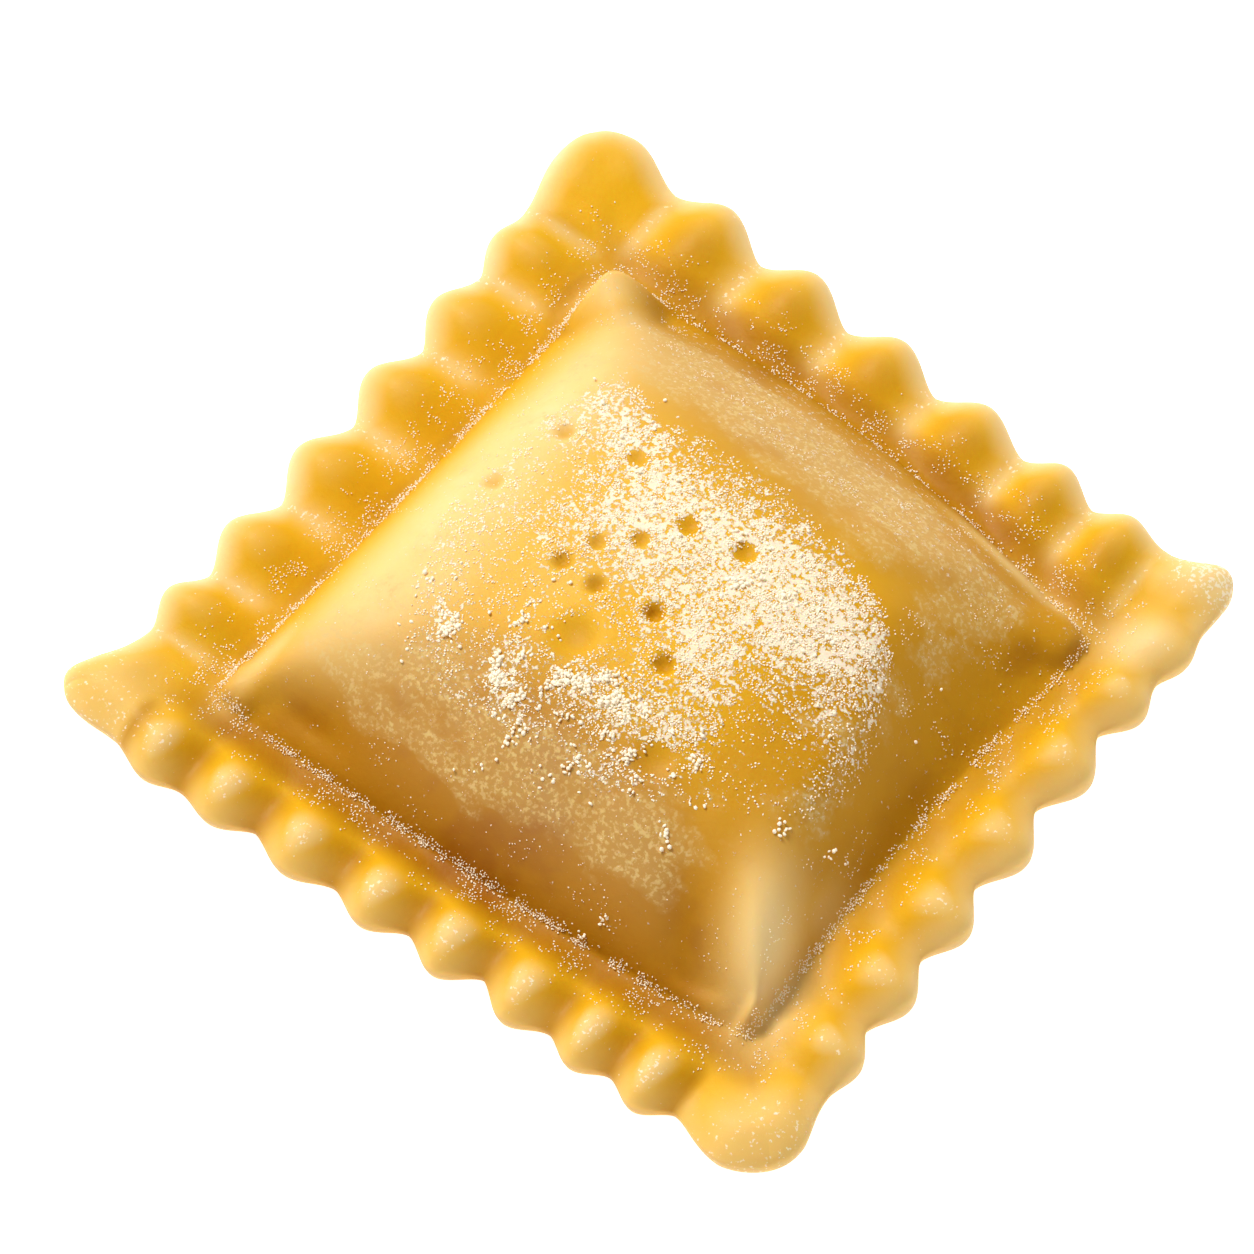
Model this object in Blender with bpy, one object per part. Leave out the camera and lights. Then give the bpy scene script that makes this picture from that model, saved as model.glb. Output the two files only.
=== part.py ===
"""One square ravioli, lying flat: a filled pillow of dough inside a pressed, fluted rim.

All of it is a single solid, because the two sheets of dough are sealed into one piece.
Sizes in the tables are millimetres seen from above, with the front edge towards -Y.
The mesh is in metres and rests on z = 0.
"""

import bmesh
import bpy
import numpy as np

MM = 0.001

# Corners of the lines that touch the rim's lobes, as (x, y).
RIM_CORNERS = {
    "front_left": (-25.5, -25.1),
    "front_right": (25.4, -24.9),
    "back_left": (-25.3, 26.8),
    "back_right": (25.1, 23.2),
}
# Corners of the crease where the pillow rises from the rim, and how far each of the
# crease's sides bows outwards between them.
FOOT_CORNERS = {
    "front_left": (-18.8, -18.8),
    "front_right": (19.6, -18.0),
    "back_left": (-17.8, 18.0),
    "back_right": (20.1, 14.9),
}
FOOT_BOW = {"front": 0.5, "back": 1.7, "left": -0.2, "right": -0.9}
# How far the crease's corners are drawn in, and over what distance.
CORNER_DRAW = {"front_left": 0.3, "front_right": 0.5, "back_left": 0.4, "back_right": 0.3}
CORNER_DRAW_REACH = 2.2
# How far the rim's corner pads are rounded, as a share of the rim's width.
PAD_ROUNDING = {
    "front_left": 0.5,
    "front_right": 0.6,
    "back_left": 0.65,
    "back_right": 0.55,
}
# How far each pad reaches past the two lines at its corner, as (along x, along y).
PAD_REACH = {
    "front_left": (-1.6, 0.8),
    "front_right": (0.5, 0.5),
    "back_left": (-1.2, 0.9),
    "back_right": (0.1, 1.2),
}

# Each side's flutes: where its first notch lies, the width of each lobe from there on,
# and how deep each notch cuts into the rim.
FLUTES = {
    "front": {
        "start": -21.1,
        "lobes": (4.4, 5.2, 5.9, 5.2, 5.2, 5.1, 4.3, 4.4),
        "depths": (0.7, 0.6, 1.1, 1.0, 1.2, 1.5, 1.0, 0.9, 1.2),
    },
    "back": {
        "start": -18.3,
        "lobes": (7.1, 7.0, 6.9, 6.7, 5.3, 5.1),
        "depths": (1.4, 1.7, 1.7, 1.6, 1.3, 1.2, 0.4),
    },
    "left": {
        "start": -17.3,
        "lobes": (4.9, 6.3, 6.8, 6.6, 6.3, 5.4),
        "depths": (0.9, 1.3, 1.6, 1.6, 1.6, 1.1, 0.4),
    },
    "right": {
        "start": -17.8,
        "lobes": (4.8, 5.5, 5.6, 6.2, 6.2, 4.9, 3.5),
        "depths": (0.5, 1.2, 1.3, 1.5, 1.6, 1.5, 0.7, 0.5),
    },
}
FLUTE_ROUNDING = 0.8
PAD_RISE = 3.8
# The middle of the outline's box, which is moved to the origin.
OUTLINE_MIDDLE = (-0.52, 1.04)

# Heights of the rim above the table, and the rounding of its outer edge.
VALLEY_HEIGHT = 1.85
CREST_HEIGHT = 3.3
PAD_HEIGHT = 2.6
PAD_BEAD = 0.3
EDGE_HEIGHT = 1.25
EDGE_ROUNDING = 2.4

# How near the crease each side's lobes begin and reach full height, as shares of the
# rim's width. The back and left lobes are long ridges, the front ones short bumps.
LOBE_START = {
    "front": (0.08, 0.62),
    "back": (0.0, 0.5),
    "left": (0.02, 0.55),
    "right": (0.08, 0.62),
}
LOBE_FULLNESS = 1.1

# The top of the filling above the rim. Its level lines are nearly round at the top and
# square at the crease, so that ridges run to the four corners.
PILLOW_RISE = 8.5
TOP_SQUARENESS = 2.3
FOOT_SQUARENESS = 11.0
# A lower steepness makes the wall on that side more upright at the crease.
STEEPNESS = {"front": 0.76, "back": 0.66, "left": 0.88, "right": 1.2}
# The shoulder where the filling's top turns down into the walls, as (x, y, height above
# the rim, fullness of the wall below it).
SHOULDER = (
    (-11.0, 9.8, 6.0, 1.1),
    (-6.6, 8.3, 7.0, 1.02),
    (-0.8, 8.5, 7.5, 1.0),
    (5.6, 7.7, 7.6, 1.0),
    (10.8, 6.1, 7.3, 1.0),
    (13.4, 3.0, 7.2, 1.0),
    (14.9, -0.5, 7.2, 1.02),
    (15.4, -4.5, 6.9, 1.05),
    (14.0, -8.5, 6.2, 1.15),
    (8.0, -12.0, 6.4, 1.3),
    (-2.0, -12.6, 6.3, 1.35),
    (-10.0, -11.0, 5.9, 1.3),
    (-13.2, -3.0, 6.3, 1.3),
    (-12.6, 4.0, 6.2, 1.3),
)
SHOULDER_MIDDLE = (1.0, -2.0)
# How many times the shoulder is smoothed, and how strongly on each side.
SHOULDER_ROUNDS = 5
SHOULDER_SOFTNESS = {"front": 0.9, "back": 0.22, "left": 1.0, "right": 0.16}

# Each corner of the pillow is drawn out into a nose on a ridge. For each: the nose's
# height, the length of its tip, its reach inwards and half its width, then how far the
# flank beside the ridge is hollowed towards the front or back crease, and towards the other.
NOSES = {
    "front_left": (1.4, 2.4, 5.0, 2.0, 0.75, 0.2),
    "front_right": (1.7, 1.8, 5.0, 1.5, 0.75, 0.0),
    "back_left": (3.2, 1.6, 4.5, 3.6, 0.5, 0.45),
    "back_right": (1.7, 3.2, 5.0, 2.0, 0.1, 0.45),
}
# How much nearer a ridge lies to the left or right crease than to the other one.
RIDGE_LEAN = {"front_left": 0.3, "front_right": 2.0}
PINCH_REACH = 8.5
FOOT_HALF_WIDTH = 19.0
# Hollows and folds in the pillow, as (x, y, length, width, turn in degrees, height).
FOLDS = (
    (-12.6, -16.2, 3.6, 2.2, 0.0, -0.9),
    (-12.6, 16.8, 2.4, 1.5, -5.0, -0.6),
    (14.2, -15.4, 3.8, 2.0, -40.0, -1.2),
    (17.9, -13.7, 4.2, 1.7, -60.0, 1.0),
    (14.6, 10.8, 3.4, 2.0, 40.0, -0.3),
)

# The underside's rounding, as steps of (height, inset from the outline).
UNDERSIDE_STEPS = ((0.6, 0.12), (0.18, 0.5), (0.0, 1.05))

RIM_COLUMNS = 12
PILLOW_COLUMNS = 45
RIM_CROWDING = 0.5
PILLOW_CROWDING = 0.55

DOUGH_COLOUR = (0.88, 0.6, 0.2, 1.0)
DOUGH_ROUGHNESS = 0.42


def mix(first, second, share):
    return first + (second - first) * share


def smooth_step(low, high, value):
    share = np.clip((value - low) / (high - low), 0.0, 1.0)
    return share * share * (3.0 - 2.0 * share)


def smooth_highest(first, second, sharpness):
    """The higher of two positive heights, with the step between them rounded off."""
    return (first**sharpness + second**sharpness) ** (1.0 / sharpness)


def soft_ellipse(x, y, ellipse):
    """1 in the middle of a turned ellipse, fading out over its length and width."""
    middle_x, middle_y, length, width, turn = ellipse
    turn = np.radians(turn)
    lengthways = ((x - middle_x) * np.cos(turn) + (y - middle_y) * np.sin(turn)) / length
    sideways = ((y - middle_y) * np.cos(turn) - (x - middle_x) * np.sin(turn)) / width
    return np.exp(-(lengthways**2) - sideways**2)


def column_marks():
    """The mesh's columns, from -2 to 2: the pillow lies between -1 and 1."""
    across = np.linspace(0.0, 1.0, RIM_COLUMNS + 1)[1:]
    rim = 1.0 + mix(across, np.sin(across * np.pi / 2.0), RIM_CROWDING)
    pillow = np.linspace(-1.0, 1.0, PILLOW_COLUMNS + 1)
    return np.concatenate([-rim[::-1], pillow, rim])


def notch_places(side):
    flutes = FLUTES[side]
    return flutes["start"] + np.concatenate([[0.0], np.cumsum(flutes["lobes"])])


def lobe_shape(side, along):
    """1 on a lobe's crest, 0 at a notch and past the side's first and last notch."""
    notches = notch_places(side)
    lobe = np.clip(np.searchsorted(notches, along) - 1, 0, len(notches) - 2)
    share = (along - notches[lobe]) / (notches[lobe + 1] - notches[lobe])
    share = np.clip(share, 0.0, 1.0)
    return (0.5 - 0.5 * np.cos(2.0 * np.pi * share)) ** FLUTE_ROUNDING


def pad_shape(side, along):
    """0 between the side's first and last notch, rising to 1 on the corner pads."""
    notches = notch_places(side)
    beyond = np.maximum(notches[0] - along, along - notches[-1])
    share = np.clip(beyond / PAD_RISE, 0.0, 1.0)
    return (0.5 - 0.5 * np.cos(np.pi * share)) ** FLUTE_ROUNDING


def notch_cut(side, along):
    """How far the outline lies inside the line that touches the side's crests."""
    notches = notch_places(side)
    depth = np.interp(along, notches, FLUTES[side]["depths"])
    return depth * (1.0 - lobe_shape(side, along) - pad_shape(side, along))


def move_to_notches(side, along):
    """Shifts the columns a little, so that one of them meets each notch of the side."""
    notches = notch_places(side)
    columns = np.array([np.abs(along - place).argmin() for place in notches])
    columns = np.concatenate([[0], columns, [len(along) - 1]])
    shifts = np.concatenate([[0.0], notches - along[columns[1:-1]], [0.0]])
    return along + np.interp(np.arange(len(along)), columns, shifts)


def line_of_columns(marks, rim_low, foot_low, foot_high, rim_high):
    """Where the columns cross a line, given its ends on the rim and on the foot."""
    return np.interp(marks, (-2.0, -1.0, 1.0, 2.0), (rim_low, foot_low, foot_high, rim_high))


def plan_places(marks):
    """X and Y of every column crossing, before notches and round corners are made."""
    rim = {name: np.array(place) for name, place in RIM_CORNERS.items()}
    foot = {name: np.array(place) for name, place in FOOT_CORNERS.items()}

    def spread(axis, low, high, low_side, high_side):
        """One coordinate of all crossings, on rows that run from low_side to high_side."""
        names = {
            low_side: (f"front_{low}", f"front_{high}") if axis == 0 else (f"{low}_left", f"{high}_left"),
            high_side: (f"back_{low}", f"back_{high}") if axis == 0 else (f"{low}_right", f"{high}_right"),
        }
        lines = []
        for side in (low_side, high_side):
            first, last = names[side]
            ends = (rim[first][axis], foot[first][axis], foot[last][axis], rim[last][axis])
            on_foot = line_of_columns(marks, *ends)
            lines.append((move_to_notches(side, on_foot), on_foot))
        (low_rim, low_foot), (high_rim, high_foot) = lines
        rows = marks[:, None]
        middle = mix(low_foot, high_foot, np.clip(rows / 2.0 + 0.5, 0.0, 1.0))
        to_low = np.clip(-rows - 1.0, 0.0, 1.0)
        to_high = np.clip(rows - 1.0, 0.0, 1.0)
        return mix(mix(middle, low_rim, to_low), high_rim, to_high)

    x = spread(0, "left", "right", "front", "back")
    y = spread(1, "front", "back", "left", "right").T
    return x, y


def crowd_to_foot(values):
    """Moves the pillow's columns outwards, where its wall is steep."""
    crowded = np.sin(values * np.pi / 2.0)
    return np.where(np.abs(values) < 1.0, crowded, values)


def pillow_marks(marks):
    """Marks of every crossing in both directions, closer together near the foot."""
    across, along = np.meshgrid(marks, marks)
    inner = (np.abs(across) < 1.0) & (np.abs(along) < 1.0)
    share_x = PILLOW_CROWDING * np.where(inner, 1.0 - along**4, 0.0)
    share_y = PILLOW_CROWDING * np.where(inner, 1.0 - across**4, 0.0)
    return mix(across, crowd_to_foot(across), share_x), mix(along, crowd_to_foot(along), share_y)


def read_off(table, marks, across, along):
    """Reads a table of crossings at marks that lie between its own, in both directions."""
    column = np.clip(np.searchsorted(marks, across) - 1, 0, len(marks) - 2)
    row = np.clip(np.searchsorted(marks, along) - 1, 0, len(marks) - 2)
    right = (across - marks[column]) / (marks[column + 1] - marks[column])
    up = (along - marks[row]) / (marks[row + 1] - marks[row])
    low = mix(table[row, column], table[row, column + 1], right)
    high = mix(table[row + 1, column], table[row + 1, column + 1], right)
    return mix(low, high, up)


def corner_scale(share, rounding):
    """How far a corner's boundary is drawn in, where share is 0 on a side and 1 at its tip."""
    flat = 1.0 - rounding
    square = 1.0 + share**2
    reach = flat * (1.0 + share)
    root = np.sqrt(np.maximum(reach**2 - square * (2.0 * flat**2 - rounding**2), 0.0))
    return np.where(share <= flat, 1.0, (reach + root) / square)


def shape_outline(x, y, across, along):
    """Rounds the pads and cuts the notches. The foot of the pillow stays where it is."""
    from_foot_x = np.clip(np.abs(across) - 1.0, 0.0, 1.0)
    from_foot_y = np.clip(np.abs(along) - 1.0, 0.0, 1.0)
    cut = {
        "front": notch_cut("front", x) * np.clip(-along - 1.0, 0.0, 1.0) ** 2,
        "back": notch_cut("back", x) * np.clip(along - 1.0, 0.0, 1.0) ** 2,
        "left": notch_cut("left", y) * np.clip(-across - 1.0, 0.0, 1.0) ** 2,
        "right": notch_cut("right", y) * np.clip(across - 1.0, 0.0, 1.0) ** 2,
    }
    widest = np.maximum(from_foot_x, from_foot_y)
    share = np.minimum(from_foot_x, from_foot_y) / np.maximum(widest, 1e-9)
    for name, foot in FOOT_CORNERS.items():
        in_corner = (from_foot_x > 0.0) & (from_foot_y > 0.0)
        in_corner &= (along < 0.0) == name.startswith("front")
        in_corner &= (across < 0.0) == name.endswith("left")
        scale = 1.0 - (1.0 - corner_scale(share, PAD_ROUNDING[name])) * widest**2
        x = np.where(in_corner, foot[0] + (x - foot[0]) * scale, x)
        y = np.where(in_corner, foot[1] + (y - foot[1]) * scale, y)
        reach = smooth_step(1.0, 1.9, np.abs(across)) * smooth_step(1.0, 1.9, np.abs(along))
        same = ((along < 0.0) == name.startswith("front")) & ((across < 0.0) == name.endswith("left"))
        reach = np.where(same, reach, 0.0)
        x = x + PAD_REACH[name][0] * reach
        y = y + PAD_REACH[name][1] * reach
    x = x + cut["left"] - cut["right"]
    y = y + cut["front"] - cut["back"]
    return x, y


def shape_foot(x, y, across, along):
    """Bows the sides of the pillow's foot, and draws its corners in."""
    for side, bow in FOOT_BOW.items():
        sideways = side in ("left", "right")
        outwards = -1.0 if side in ("left", "front") else 1.0
        from_side, from_middle = (across, along) if sideways else (along, across)
        near = np.clip(1.0 - np.abs(from_side - outwards), 0.0, 1.0)
        shift = outwards * bow * near * np.clip(1.0 - from_middle**2, 0.0, 1.0)
        x = x + shift * sideways
        y = y + shift * (not sideways)
    for name, draw in CORNER_DRAW.items():
        foot = np.array(FOOT_CORNERS[name])
        near = draw * np.exp(-(((x - foot[0]) ** 2 + (y - foot[1]) ** 2) / CORNER_DRAW_REACH**2))
        x = x - np.sign(foot[0]) * near / np.sqrt(2.0)
        y = y - np.sign(foot[1]) * near / np.sqrt(2.0)
    return x, y


def eased(z, share, rounds):
    """Smooths heights over their neighbours, by a share given for every crossing."""
    for _ in range(rounds):
        padded = np.pad(z, 1, mode="edge")
        mean = (padded[:-2, 1:-1] + padded[2:, 1:-1] + padded[1:-1, :-2] + padded[1:-1, 2:]) / 4.0
        z = mix(z, mean, share)
    return z


def side_value(table, across, along):
    """Blends a value given for each side by how far a point lies towards it."""
    shares = {
        "front": np.maximum(-along, 0.0) ** 6,
        "back": np.maximum(along, 0.0) ** 6,
        "left": np.maximum(-across, 0.0) ** 6,
        "right": np.maximum(across, 0.0) ** 6,
    }
    total = sum(shares.values()) + 1e-9
    middle = sum(table.values()) / 4.0
    return (sum(shares[side] * table[side] for side in table) + 1e-9 * middle) / total


def from_corner(name, across, along):
    """Distance from a corner along its ridge in millimetres, the place between ridge (0)
    and crease (1), and whether the front or back crease is the nearer one."""
    from_side = 1.0 + across if name.endswith("left") else 1.0 - across
    from_end = 1.0 + along if name.startswith("front") else 1.0 - along
    both = from_side + from_end
    aside = np.abs(from_side - from_end) / np.maximum(both, 1e-6)
    return both / np.sqrt(2.0) * FOOT_HALF_WIDTH, np.clip(aside, 0.0, 1.0), from_end < from_side


def pillow_height(x, y, across, along):
    """How far the pillow stands above the rim."""
    across = np.clip(across, -1.0, 1.0)
    along = np.clip(along, -1.0, 1.0)
    for name, lean in RIDGE_LEAN.items():
        inwards, _, _ = from_corner(name, across, along)
        grown = 1.0 + lean * np.exp(-((inwards / PINCH_REACH) ** 2))
        outwards = -1.0 if name.endswith("left") else 1.0
        across = outwards * (1.0 - (1.0 - outwards * across) * grown)
    widest = np.maximum(np.abs(across), np.abs(along))
    squareness = mix(TOP_SQUARENESS, FOOT_SQUARENESS, smooth_step(0.35, 1.0, widest))
    away = (np.abs(across) ** squareness + np.abs(along) ** squareness) ** (1.0 / squareness)
    # Both tables of the shoulder are read by direction: its reach, height and fullness.
    reaches = [away.flat[np.hypot(x - point[0], y - point[1]).argmin()] for point in SHOULDER]
    table = [(point[0], point[1], reach, *point[2:]) for point, reach in zip(SHOULDER, reaches)]
    _, (_, reach, level, fullness) = read_round(x, y, SHOULDER_MIDDLE, table)
    top = PILLOW_RISE - (PILLOW_RISE - level) * np.clip(away / reach, 0.0, 1.0) ** 2.4
    down = np.clip((away - reach) / (1.0 - reach), 0.0, 1.0)
    wall = level * (1.0 - down**fullness) ** side_value(STEEPNESS, across, along)
    height = np.where(away < reach, top, wall)
    softness = side_value(SHOULDER_SOFTNESS, across, along) * (1.0 - smooth_step(0.75, 0.95, widest))
    height = eased(height, softness, SHOULDER_ROUNDS)
    for name, (nose, tip, reach, width, pinch_end, pinch_side) in NOSES.items():
        inwards, aside, end_flank = from_corner(name, across, along)
        near = np.exp(-((inwards / PINCH_REACH) ** 2))
        pinch = np.where(end_flank, pinch_end, pinch_side)
        height = height * (1.0 - pinch * near * smooth_step(0.0, 0.75, aside))
        lengthways = (inwards - tip) / np.where(inwards < tip, tip, reach)
        sideways = aside * inwards / width
        ridge = nose * np.sqrt(np.maximum(1.0 - lengthways**2 - sideways**2, 0.0) * (1.0 - aside**4))
        height = smooth_highest(height, ridge, 3.0)
    for fold in FOLDS:
        height = height + fold[5] * soft_ellipse(x, y, fold[:5]) * smooth_step(0.3, 1.8, height)
    return height


def read_round(x, y, middle, table):
    """Reads a table of (x, y, values...) by direction from the middle: its reach and values."""
    table = np.array(table)
    turn = np.arctan2(table[:, 1] - middle[1], table[:, 0] - middle[0])
    table = table[np.argsort(turn)]
    turn = np.sort(turn)
    reach = np.hypot(table[:, 0] - middle[0], table[:, 1] - middle[1])
    here = np.arctan2(y - middle[1], x - middle[0])
    around = 2.0 * np.pi
    read = [np.interp(here, turn, reach, period=around)]
    read += [np.interp(here, turn, table[:, column], period=around) for column in range(2, table.shape[1])]
    away = np.hypot(x - middle[0], y - middle[1])
    return away, read


def outline_distance(x, y, outline):
    """How far each crossing lies from the nearest point of the outline."""
    nearest = np.full(x.shape, np.inf)
    ends = np.roll(outline, -1, axis=0)
    for start, end in zip(outline, ends):
        step = end - start
        share = ((x - start[0]) * step[0] + (y - start[1]) * step[1]) / (step @ step)
        share = np.clip(share, 0.0, 1.0)
        away = np.hypot(x - start[0] - share * step[0], y - start[1] - share * step[1])
        nearest = np.minimum(nearest, away)
    return nearest


def pad_mask(x, y, across, along):
    """1 on the corner pads, fading out towards the lobes and the pillow."""
    pad = np.maximum(pad_shape("front", x), pad_shape("back", x))
    pad = pad * np.maximum(pad_shape("left", y), pad_shape("right", y))
    from_foot = np.hypot(np.clip(np.abs(across) - 1.0, 0.0, 1.0), np.clip(np.abs(along) - 1.0, 0.0, 1.0))
    return pad * smooth_step(0.1, 0.8, from_foot)


def rim_height(x, y, across, along, inset):
    """The rim's top, before its edge is rounded, for points this far inside the outline."""
    reach = {
        "front": -along - 1.0,
        "back": along - 1.0,
        "left": -across - 1.0,
        "right": across - 1.0,
    }
    rise = np.zeros(x.shape)
    for side, from_foot in reach.items():
        place = x if side in ("front", "back") else y
        start, full = LOBE_START[side]
        rise = rise + lobe_shape(side, place) ** LOBE_FULLNESS * smooth_step(start, full, from_foot)
    height = VALLEY_HEIGHT + (CREST_HEIGHT - VALLEY_HEIGHT) * rise
    pad = pad_mask(x, y, across, along)
    bead = PAD_BEAD * np.exp(-(((inset - 1.9) / 1.1) ** 2))
    return height + pad * (PAD_HEIGHT - VALLEY_HEIGHT + bead)


def boundary_order(count):
    """Rows and columns of the boundary's crossings, anticlockwise from the front left."""
    last = count - 1
    steps = np.arange(last)
    rows = np.concatenate([steps * 0, steps, steps * 0 + last, last - steps])
    columns = np.concatenate([steps, steps * 0 + last, last - steps, steps * 0])
    return rows, columns


def ravioli_top():
    """X, Y and Z of every crossing on the top side, in millimetres."""
    marks = column_marks()
    across, along = pillow_marks(marks)
    x, y = plan_places(marks)
    x, y = read_off(x, marks, across, along), read_off(y, marks, across, along)
    x, y = shape_outline(x, y, across, along)
    rows, columns = boundary_order(len(marks))
    outline = np.stack([x[rows, columns], y[rows, columns]], axis=1)
    pillow = pillow_height(x, y, across, along)
    x, y = shape_foot(x, y, across, along)
    inset = outline_distance(x, y, outline)
    over = np.maximum(np.abs(across), np.abs(along)) - 1.0
    top = rim_height(x, y, across, along, inset) + pillow
    top = eased(top, mix(0.3, 1.0, smooth_step(0.0, 0.25, over)), 1)
    inset = eased(inset, smooth_step(0.0, 1.0, inset), 4)
    near_edge = 1.0 - np.clip(inset / EDGE_ROUNDING, 0.0, 1.0)
    z = EDGE_HEIGHT + (top - EDGE_HEIGHT) * np.sqrt(np.maximum(1.0 - near_edge**2, 0.0))
    return x - OUTLINE_MIDDLE[0], y - OUTLINE_MIDDLE[1], z


def inward_directions(outline):
    """Unit vectors that point into the ravioli, square to its anticlockwise outline."""
    step = np.roll(outline, -1, axis=0) - np.roll(outline, 1, axis=0)
    inwards = np.stack([-step[:, 1], step[:, 0]], axis=1)
    inwards = inwards / np.linalg.norm(inwards, axis=1, keepdims=True)
    for _ in range(3):
        inwards = (np.roll(inwards, 1, axis=0) + 2.0 * inwards + np.roll(inwards, -1, axis=0)) / 4.0
    return inwards / np.linalg.norm(inwards, axis=1, keepdims=True)


def add_underside(mesh, outline, order):
    """Carries the outline down and inwards to the table, and closes it with one face."""
    inwards = inward_directions(outline)
    edges = [edge for edge in mesh.edges if edge.is_boundary]
    for height, inset in UNDERSIDE_STEPS:
        grown = bmesh.ops.extrude_edge_only(mesh, edges=edges)["geom"]
        for vert in (item for item in grown if isinstance(item, bmesh.types.BMVert)):
            number = vert[order]
            x, y = outline[number] + inwards[number] * inset
            vert.co = (x * MM, y * MM, height * MM)
        edges = [item for item in grown if isinstance(item, bmesh.types.BMEdge) and item.is_boundary]
    bmesh.ops.contextual_create(mesh, geom=edges)


def build_mesh():
    x, y, z = ravioli_top()
    count = len(x)
    mesh = bmesh.new()
    half = (count - 1) / 2.0
    bmesh.ops.create_grid(mesh, x_segments=count - 1, y_segments=count - 1, size=half)
    rows, columns = boundary_order(count)
    number_at = {(row, column): number for number, (row, column) in enumerate(zip(rows, columns))}
    order = mesh.verts.layers.int.new("outline_number")
    for vert in mesh.verts:
        column = round(vert.co.x + half)
        row = round(vert.co.y + half)
        vert[order] = number_at.get((row, column), -1)
        vert.co = (x[row, column] * MM, y[row, column] * MM, z[row, column] * MM)
    add_underside(mesh, np.stack([x[rows, columns], y[rows, columns]], axis=1), order)
    mesh.verts.layers.int.remove(order)
    bmesh.ops.recalc_face_normals(mesh, faces=mesh.faces)
    for face in mesh.faces:
        face.smooth = True
    data = bpy.data.meshes.new("ravioli")
    mesh.to_mesh(data)
    mesh.free()
    return data


def dough_material():
    material = bpy.data.materials.new("dough")
    material.use_nodes = True
    shader = material.node_tree.nodes["Principled BSDF"]
    shader.inputs["Base Color"].default_value = DOUGH_COLOUR
    shader.inputs["Roughness"].default_value = DOUGH_ROUGHNESS
    return material


def clear_scene():
    for item in list(bpy.data.objects):
        bpy.data.objects.remove(item, do_unlink=True)


def main():
    clear_scene()
    parts = bpy.data.collections.new("ravioli")
    bpy.context.scene.collection.children.link(parts)
    data = build_mesh()
    data.materials.append(dough_material())
    parts.objects.link(bpy.data.objects.new("ravioli", data))


if __name__ == "__main__":
    main()
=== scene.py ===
"""One square ravioli dusted with flour, on a pale table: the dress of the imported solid.

The body's plan and heights follow the same measures as the solid, on a finer mesh with
pits and slow lumps added. Dry flour is scattered over it with Geometry Nodes.
Tables of places and sizes are in millimetres, seen from above, front edge towards -Y.
"""

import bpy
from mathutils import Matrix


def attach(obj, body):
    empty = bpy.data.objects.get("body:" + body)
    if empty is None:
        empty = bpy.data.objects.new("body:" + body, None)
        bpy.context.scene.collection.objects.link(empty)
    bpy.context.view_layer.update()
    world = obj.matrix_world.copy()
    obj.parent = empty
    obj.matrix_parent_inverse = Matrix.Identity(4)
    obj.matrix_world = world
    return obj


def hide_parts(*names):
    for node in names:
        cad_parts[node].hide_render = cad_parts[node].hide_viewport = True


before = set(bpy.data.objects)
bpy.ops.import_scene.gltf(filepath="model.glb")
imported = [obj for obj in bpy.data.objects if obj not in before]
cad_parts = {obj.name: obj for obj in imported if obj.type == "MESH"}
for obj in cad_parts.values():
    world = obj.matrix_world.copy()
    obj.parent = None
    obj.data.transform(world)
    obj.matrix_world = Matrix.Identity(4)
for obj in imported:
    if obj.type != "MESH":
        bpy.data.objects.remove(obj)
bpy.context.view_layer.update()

import math

import bmesh
import bpy
import numpy as np
from mathutils import Matrix, Vector

bl_info = {
    "name": "Floured ravioli",
    "version": (1, 0, 0),
    "blender": (4, 5, 0),
    "location": "3D View > Sidebar > Ravioli",
    "description": "Builds a square ravioli with a fluted rim, its flour, and a plain stage",
    "category": "Add Mesh",
}

MM = 0.001
NODE = "ravioli"


def sides(front, back, left, right):
    """A table with a value for each side."""
    return {"front": front, "back": back, "left": left, "right": right}


def corners(*values):
    """A table with a value for each corner, in this order."""
    return dict(zip(("front_left", "front_right", "back_left", "back_right"), values))


# Corners of the lines that touch the rim's lobes, as (x, y).
RIM_CORNERS = corners((-25.5, -25.1), (25.4, -24.9), (-25.3, 26.8), (25.1, 23.2))
# Corners of the crease where the pillow rises from the rim, and how far each of the
# crease's sides bows outwards between them.
FOOT_CORNERS = corners((-18.8, -18.8), (19.6, -18.0), (-17.8, 18.0), (20.1, 14.9))
FOOT_BOW = sides(0.5, 1.7, -0.2, -0.9)
# How far the crease's corners are drawn in, and over what distance.
CORNER_DRAW = corners(0.3, 0.5, 0.4, 0.3)
CORNER_DRAW_REACH = 2.2
# How far the rim's corner pads are rounded, as a share of the rim's width.
PAD_ROUNDING = corners(0.5, 0.6, 0.65, 0.55)
# How far each pad reaches past the two lines at its corner, as (along x, along y).
PAD_REACH = corners((-1.6, 0.8), (0.5, 0.5), (-1.2, 0.9), (0.1, 1.2))
# Each side's flutes: where its first notch lies, the width of each lobe from there on,
# and how deep each notch cuts into the rim.
FLUTES = sides(
    (-21.1, (4.4, 5.2, 5.9, 5.2, 5.2, 5.1, 4.3, 4.4), (0.7, 0.6, 1.1, 1.0, 1.2, 1.5, 1.0, 0.9, 1.2)),
    (-18.3, (7.1, 7.0, 6.9, 6.7, 5.3, 5.1), (1.4, 1.7, 1.7, 1.6, 1.3, 1.2, 0.4)),
    (-17.3, (4.9, 6.3, 6.8, 6.6, 6.3, 5.4), (0.9, 1.3, 1.6, 1.6, 1.6, 1.1, 0.4)),
    (-17.8, (4.8, 5.5, 5.6, 6.2, 6.2, 4.9, 3.5), (0.5, 1.2, 1.3, 1.5, 1.6, 1.5, 0.7, 0.5)),
)
FLUTE_ROUNDING = 0.8
PAD_RISE = 3.8
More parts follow.
